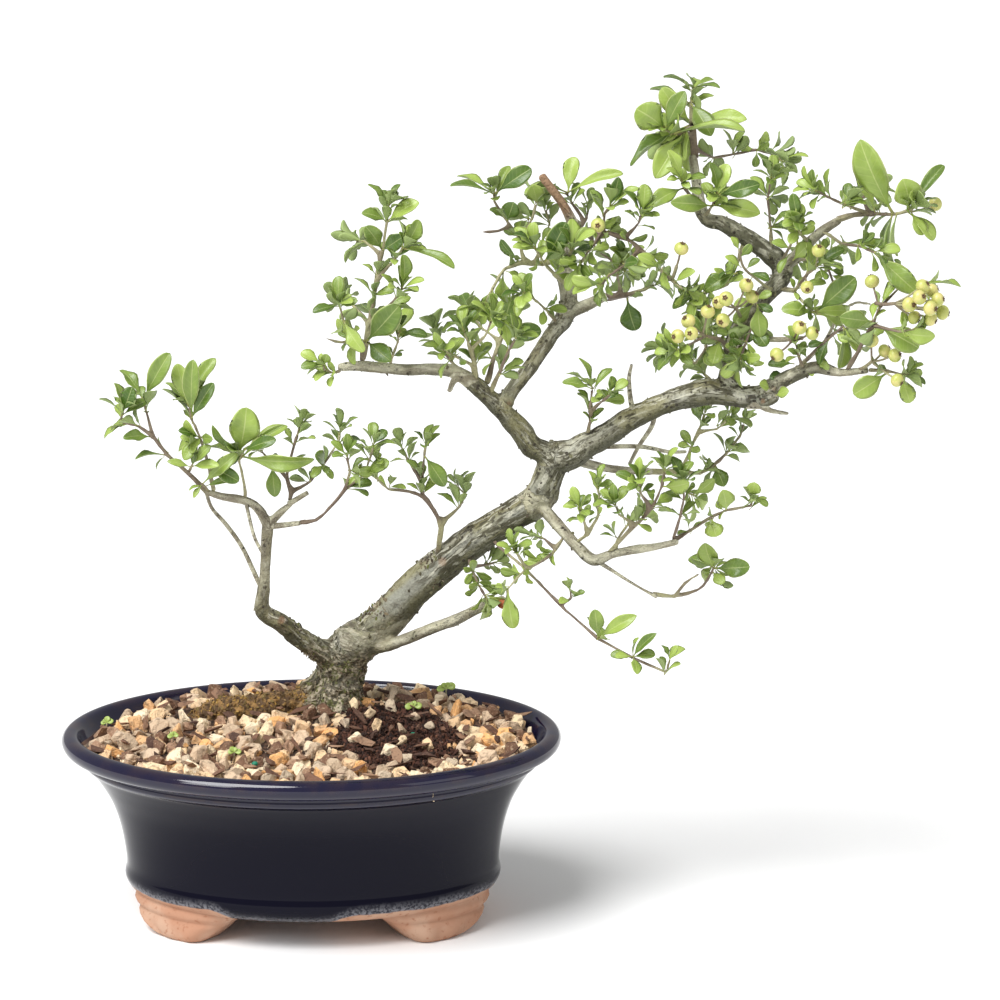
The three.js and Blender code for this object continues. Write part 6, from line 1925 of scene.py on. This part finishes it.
@dataclass
class Berries:
    """The berries in their bunches, on thin arched stalks."""

    radius: float = 3.3
    thick_stalk: float = 0.85
    thin_stalk: float = 0.5
    stalk_end: float = 2.6

    def form(self) -> Mesh:
        """Builds one berry of radius 1, its calyx at +Z in a shallow dimple.

        Returns:
            The berry's mesh.
        """
        shell = Shell()
        rings = []
        for i in range(1, 12):
            t = math.pi * i / 12
            squash = 0.94 - 0.16 * math.exp(-((math.pi - t) / 0.42) ** 2)
            radius = math.sin(t) * (1 - 0.03 * math.cos(2 * t))
            rings.append([Vector((radius * math.cos(a), radius * math.sin(a), -math.cos(t) * squash))
                          for a in turns(18)])
        shell.rings(rings)
        skin = len(shell.corners)
        for a in turns(5):
            out, side = Vector((math.cos(a), math.sin(a), 0)), Vector((-math.sin(a), math.cos(a), 0))
            sepal = []
            for reach, wide, z in ((0.06, 0.16, 0.8), (0.24, 0.15, 0.9), (0.44, 0.02, 0.93)):
                middle = out * reach + Vector((0, 0, z))
                sepal.append([middle - side * wide, middle + Vector((0, 0, 0.05)), middle + side * wide,
                              middle - Vector((0, 0, 0.05))])
            shell.rings(sepal)
        mesh = shell.mesh("berry")
        store(mesh, "calyx", "FLOAT", [float(v.index >= skin) for v in mesh.vertices])
        return mesh

    def stalk(self, shell: Shell, start: Vector, end: Vector, radius: float) -> None:
        """Adds an arched stalk.

        Args:
            shell: What it is added to.
            start: Where it leaves its bearer.
            end: Where it ends.
            radius: Its radius in millimetres.
        """
        path = []
        for i in range(7):
            t = i / 6
            path.append(start.lerp(end, t) - Vector((0, 0, 0.5 * MM * math.sin(math.pi * t))))
        shell.stem(path, [radius * MM] * 7, 7)

    def build(self) -> None:
        """Builds each bunch, and the berries that grow singly from shoots."""
        copier = Copier("berries_on_stalks", [self.form()], BERRY)
        draw = np.random.default_rng(21)
        jobs = [(name, root, hub, spots) for name, (root, hub, spots) in BUNCHES.items()]
        for name, root, hub, spots in [*jobs, ("lone", None, None, LONE_BERRIES)]:
            stalks, copies = Shell(), []
            if hub:
                self.stalk(stalks, row(root), row(hub), self.thick_stalk)
            for spot in spots:
                start, centre = (row(hub), row(spot)) if hub else (row(spot[0]), row(spot[1]))
                away = (centre - start).normalized()
                self.stalk(stalks, start, centre - away * self.stalk_end * MM, self.thin_stalk)
                size = self.radius * MM * (0.92 + 0.12 * draw.random())
                turn = away.to_track_quat("Z", "Y")
                copies.append(Copy(centre, turn, Vector((size, size, size)), draw.random()))
            piece = copier.piece(f"berry_bunch_{name}", copies, stalks.mesh("stalks"), TWIG)
            hand_over(piece, "berry", *([f"berries_{name}"] if hub else []))
        copier.clear()


def berry_middles() -> list[Vector]:
    """Lists the middles of all berries."""
    bunched = [row(spot) for _, _, spots in BUNCHES.values() for spot in spots]
    return bunched + [row(spot) for _, spot in LONE_BERRIES]


# Small things on the gravel


@dataclass
class GroundPlants:
    """Seedlings in the gravel, round leaves on the pruned limb's knob, and feed granules."""

    seedlings: tuple[tuple[float, float, float, float], ...] = (
        (63, 64, 90.5, 8.5), (47.6, 28.5, 91.5, 7), (-100, 18, 87, 6), (-65.8, -6.5, 87.5, 5.5),
        (-35.2, -30, 86.5, 5.5),
    )
    granules: tuple[Place, ...] = ((-24.6, -41.8, 86.6), (48.3, -0.5, 88.8))
    knob_leaves: tuple[tuple[float, float, float, float], ...] = ((215, -12, 259, -0.5), (218, -13, 256, 0.6))
    bud: Place = (91, -1, 153.2)
    bud_rings: tuple[tuple[float, float], ...] = (
        (-1.0, 1.1), (-0.5, 2.0), (0.1, 2.4), (0.7, 1.8), (1.15, 0.8),
    )

    def build(self) -> None:
        """Builds the small plants and the granules."""
        copier = Copier("seedling_leaves", [leaf_blade("seed_leaf", 1.3, 0.6, 0.02)], LEAF)
        stems, copies = Shell(), []
        draw = np.random.default_rng(5)
        for x, y, z, size in self.seedlings:
            foot, top = row((x, y, z - 3)), row((x + 0.3, y - 0.4, z + size * 0.36))
            stems.stem([foot, foot.lerp(top, 0.5), top], [0.4 * MM] * 3, 6)
            for k in range(4):
                a = 0.35 + 0.8 * k + 0.3 * draw.random()
                along = Vector((math.cos(a), 0.55 * math.sin(a) - 0.25, 0.84 * math.sin(a)))
                length = size * MM * (0.44 + 0.2 * draw.random())
                up = Vector((0.3 * draw.normal(), -0.8, 0.6))
                copies.append(Copy(top, facing(along, up), Vector((length * 0.9, length, length)), 1.0))
        hand_over(copier.piece("seedlings", copies, stems.mesh("seedling_stems"), TWIG), "foliage")
        stems, copies = Shell(), []
        for x, y, z, lean in self.knob_leaves:
            foot = row((x, y, z))
            stems.stem([foot + Vector((0, 0.002, 0)), foot], [0.5 * MM] * 2, 6)
            along = Vector((lean, -0.55, 0.35))
            copies.append(Copy(foot, facing(along, Vector((0, -0.8, 0.5))), Vector((6, 8, 8)) * MM, 1.0))
        hand_over(copier.piece("knob_leaves", copies, stems.mesh("knob_stems"), TWIG), "foliage")
        copier.clear()
        bud = Shell()
        middle, away = row(self.bud), Vector((0.2, -0.85, -0.35)).normalized()
        turn = away.to_track_quat("Z", "Y")
        rings = []
        for part, radius in self.bud_rings:
            rings.append([middle + away * part * 2.2 * MM + turn @ Vector(
                (radius * math.cos(a) * (1 + 0.12 * math.cos(5 * a)), radius * math.sin(a), 0)) * MM
                for a in turns(14)])
        bud.rings(rings)
        piece = new_object("red_bud", bud.mesh("red_bud"))
        dress(piece, BUD)
        hand_over(piece, "bark")
        beads = Shell()
        for x, y, z in self.granules:
            rings = []
            for i in range(1, 8):
                t = math.pi * i / 8
                rings.append([row((x + 1.5 * math.sin(t) * math.cos(a), y + 1.4 * math.sin(t) * math.sin(a),
                                   z - 1.2 * math.cos(t))) for a in turns(12)])
            beads.rings(rings)
        piece = new_object("feed_granules", beads.mesh("feed_granules"))
        dress(piece, BEAD)
        hand_over(piece, "gravel")


# Studio


@dataclass
class Studio:
    """Camera, lights, floor and sky."""

    aim: Place = (89.8, 0.0, 203.4)
    elevation: float = 12.51
    distance: float = 1.8
    lens: float = 137.65
    sensor: float = 36.0
    floor_half: float = 40.0
    sky: float = 0.46
    lamps: tuple[tuple[str, str, Place, float, float], ...] = (
        ("key", "SUN", (-0.9, -1.0, 2.3), 0.6, 3.3), ("strip", "AREA", (-1.3, -1.4, 1.2), 0.7, 11.0),
        ("fill", "AREA", (1.6, -1.3, 1.1), 1.2, 5.0),
    )

    def build(self) -> None:
        """Sets up the studio."""
        tilt = math.radians(self.elevation)
        back = Vector((0, -math.cos(tilt), math.sin(tilt)))
        data = bpy.data.cameras.new("camera")
        data.lens, data.sensor_width = self.lens, self.sensor
        camera = bpy.data.objects.new("camera", data)
        camera.location = row(self.aim) + back * self.distance
        camera.rotation_euler = (-back).to_track_quat("-Z", "Y").to_euler()
        bpy.context.scene.collection.objects.link(camera)
        bpy.context.scene.camera = camera
        for name, kind, place, size, power in self.lamps:
            light = bpy.data.lights.new(name, kind)
            light.energy = power
            setattr(light, "angle" if kind == "SUN" else "size", size)
            lamp = bpy.data.objects.new(name, light)
            lamp.location = place
            lamp.rotation_euler = (Vector((0, 0, 0.2)) - Vector(place)).to_track_quat("-Z", "Y").to_euler()
            bpy.context.scene.collection.objects.link(lamp)
        world = bpy.data.worlds.new("sky")
        world.use_nodes = True
        sheet = Sheet(world.node_tree)
        sky = sheet.add("ShaderNodeBackground", {"Color": (1.0, 1.0, 1.0, 1.0), "Strength": self.sky})
        sheet.add("ShaderNodeOutputWorld", {0: sky.outputs[0]})
        bpy.context.scene.world = world
        bpy.context.scene.view_settings.view_transform = "Standard"
        shell = Shell()
        shell.corners = [Vector((x, y, 0)) * self.floor_half for x, y in ((-1, -1), (1, -1), (1, 1), (-1, 1))]
        shell.faces = [(0, 1, 2, 3)]
        floor = new_object("floor", shell.mesh("floor"))
        dress(floor, FLOOR)


def main() -> None:
    """Builds every piece in order."""
    logging.basicConfig(level=logging.INFO, format="%(name)s: %(message)s")
    Studio().build()
    for node, finish in (("soil", SOIL), ("drain_screen_left", PLASTIC), ("drain_screen_right", PLASTIC)):
        dress(frame["nodes"][node], finish)
    Pot().build()
    scatter = Scatter()
    Gravel().build(scatter)
    Wood().build(scatter)
    scatter.clear()
    Foliage().build(berry_middles())
    LateShoots().build()
    Berries().build()
    GroundPlants().build()


if __name__ == "__main__":
    main()
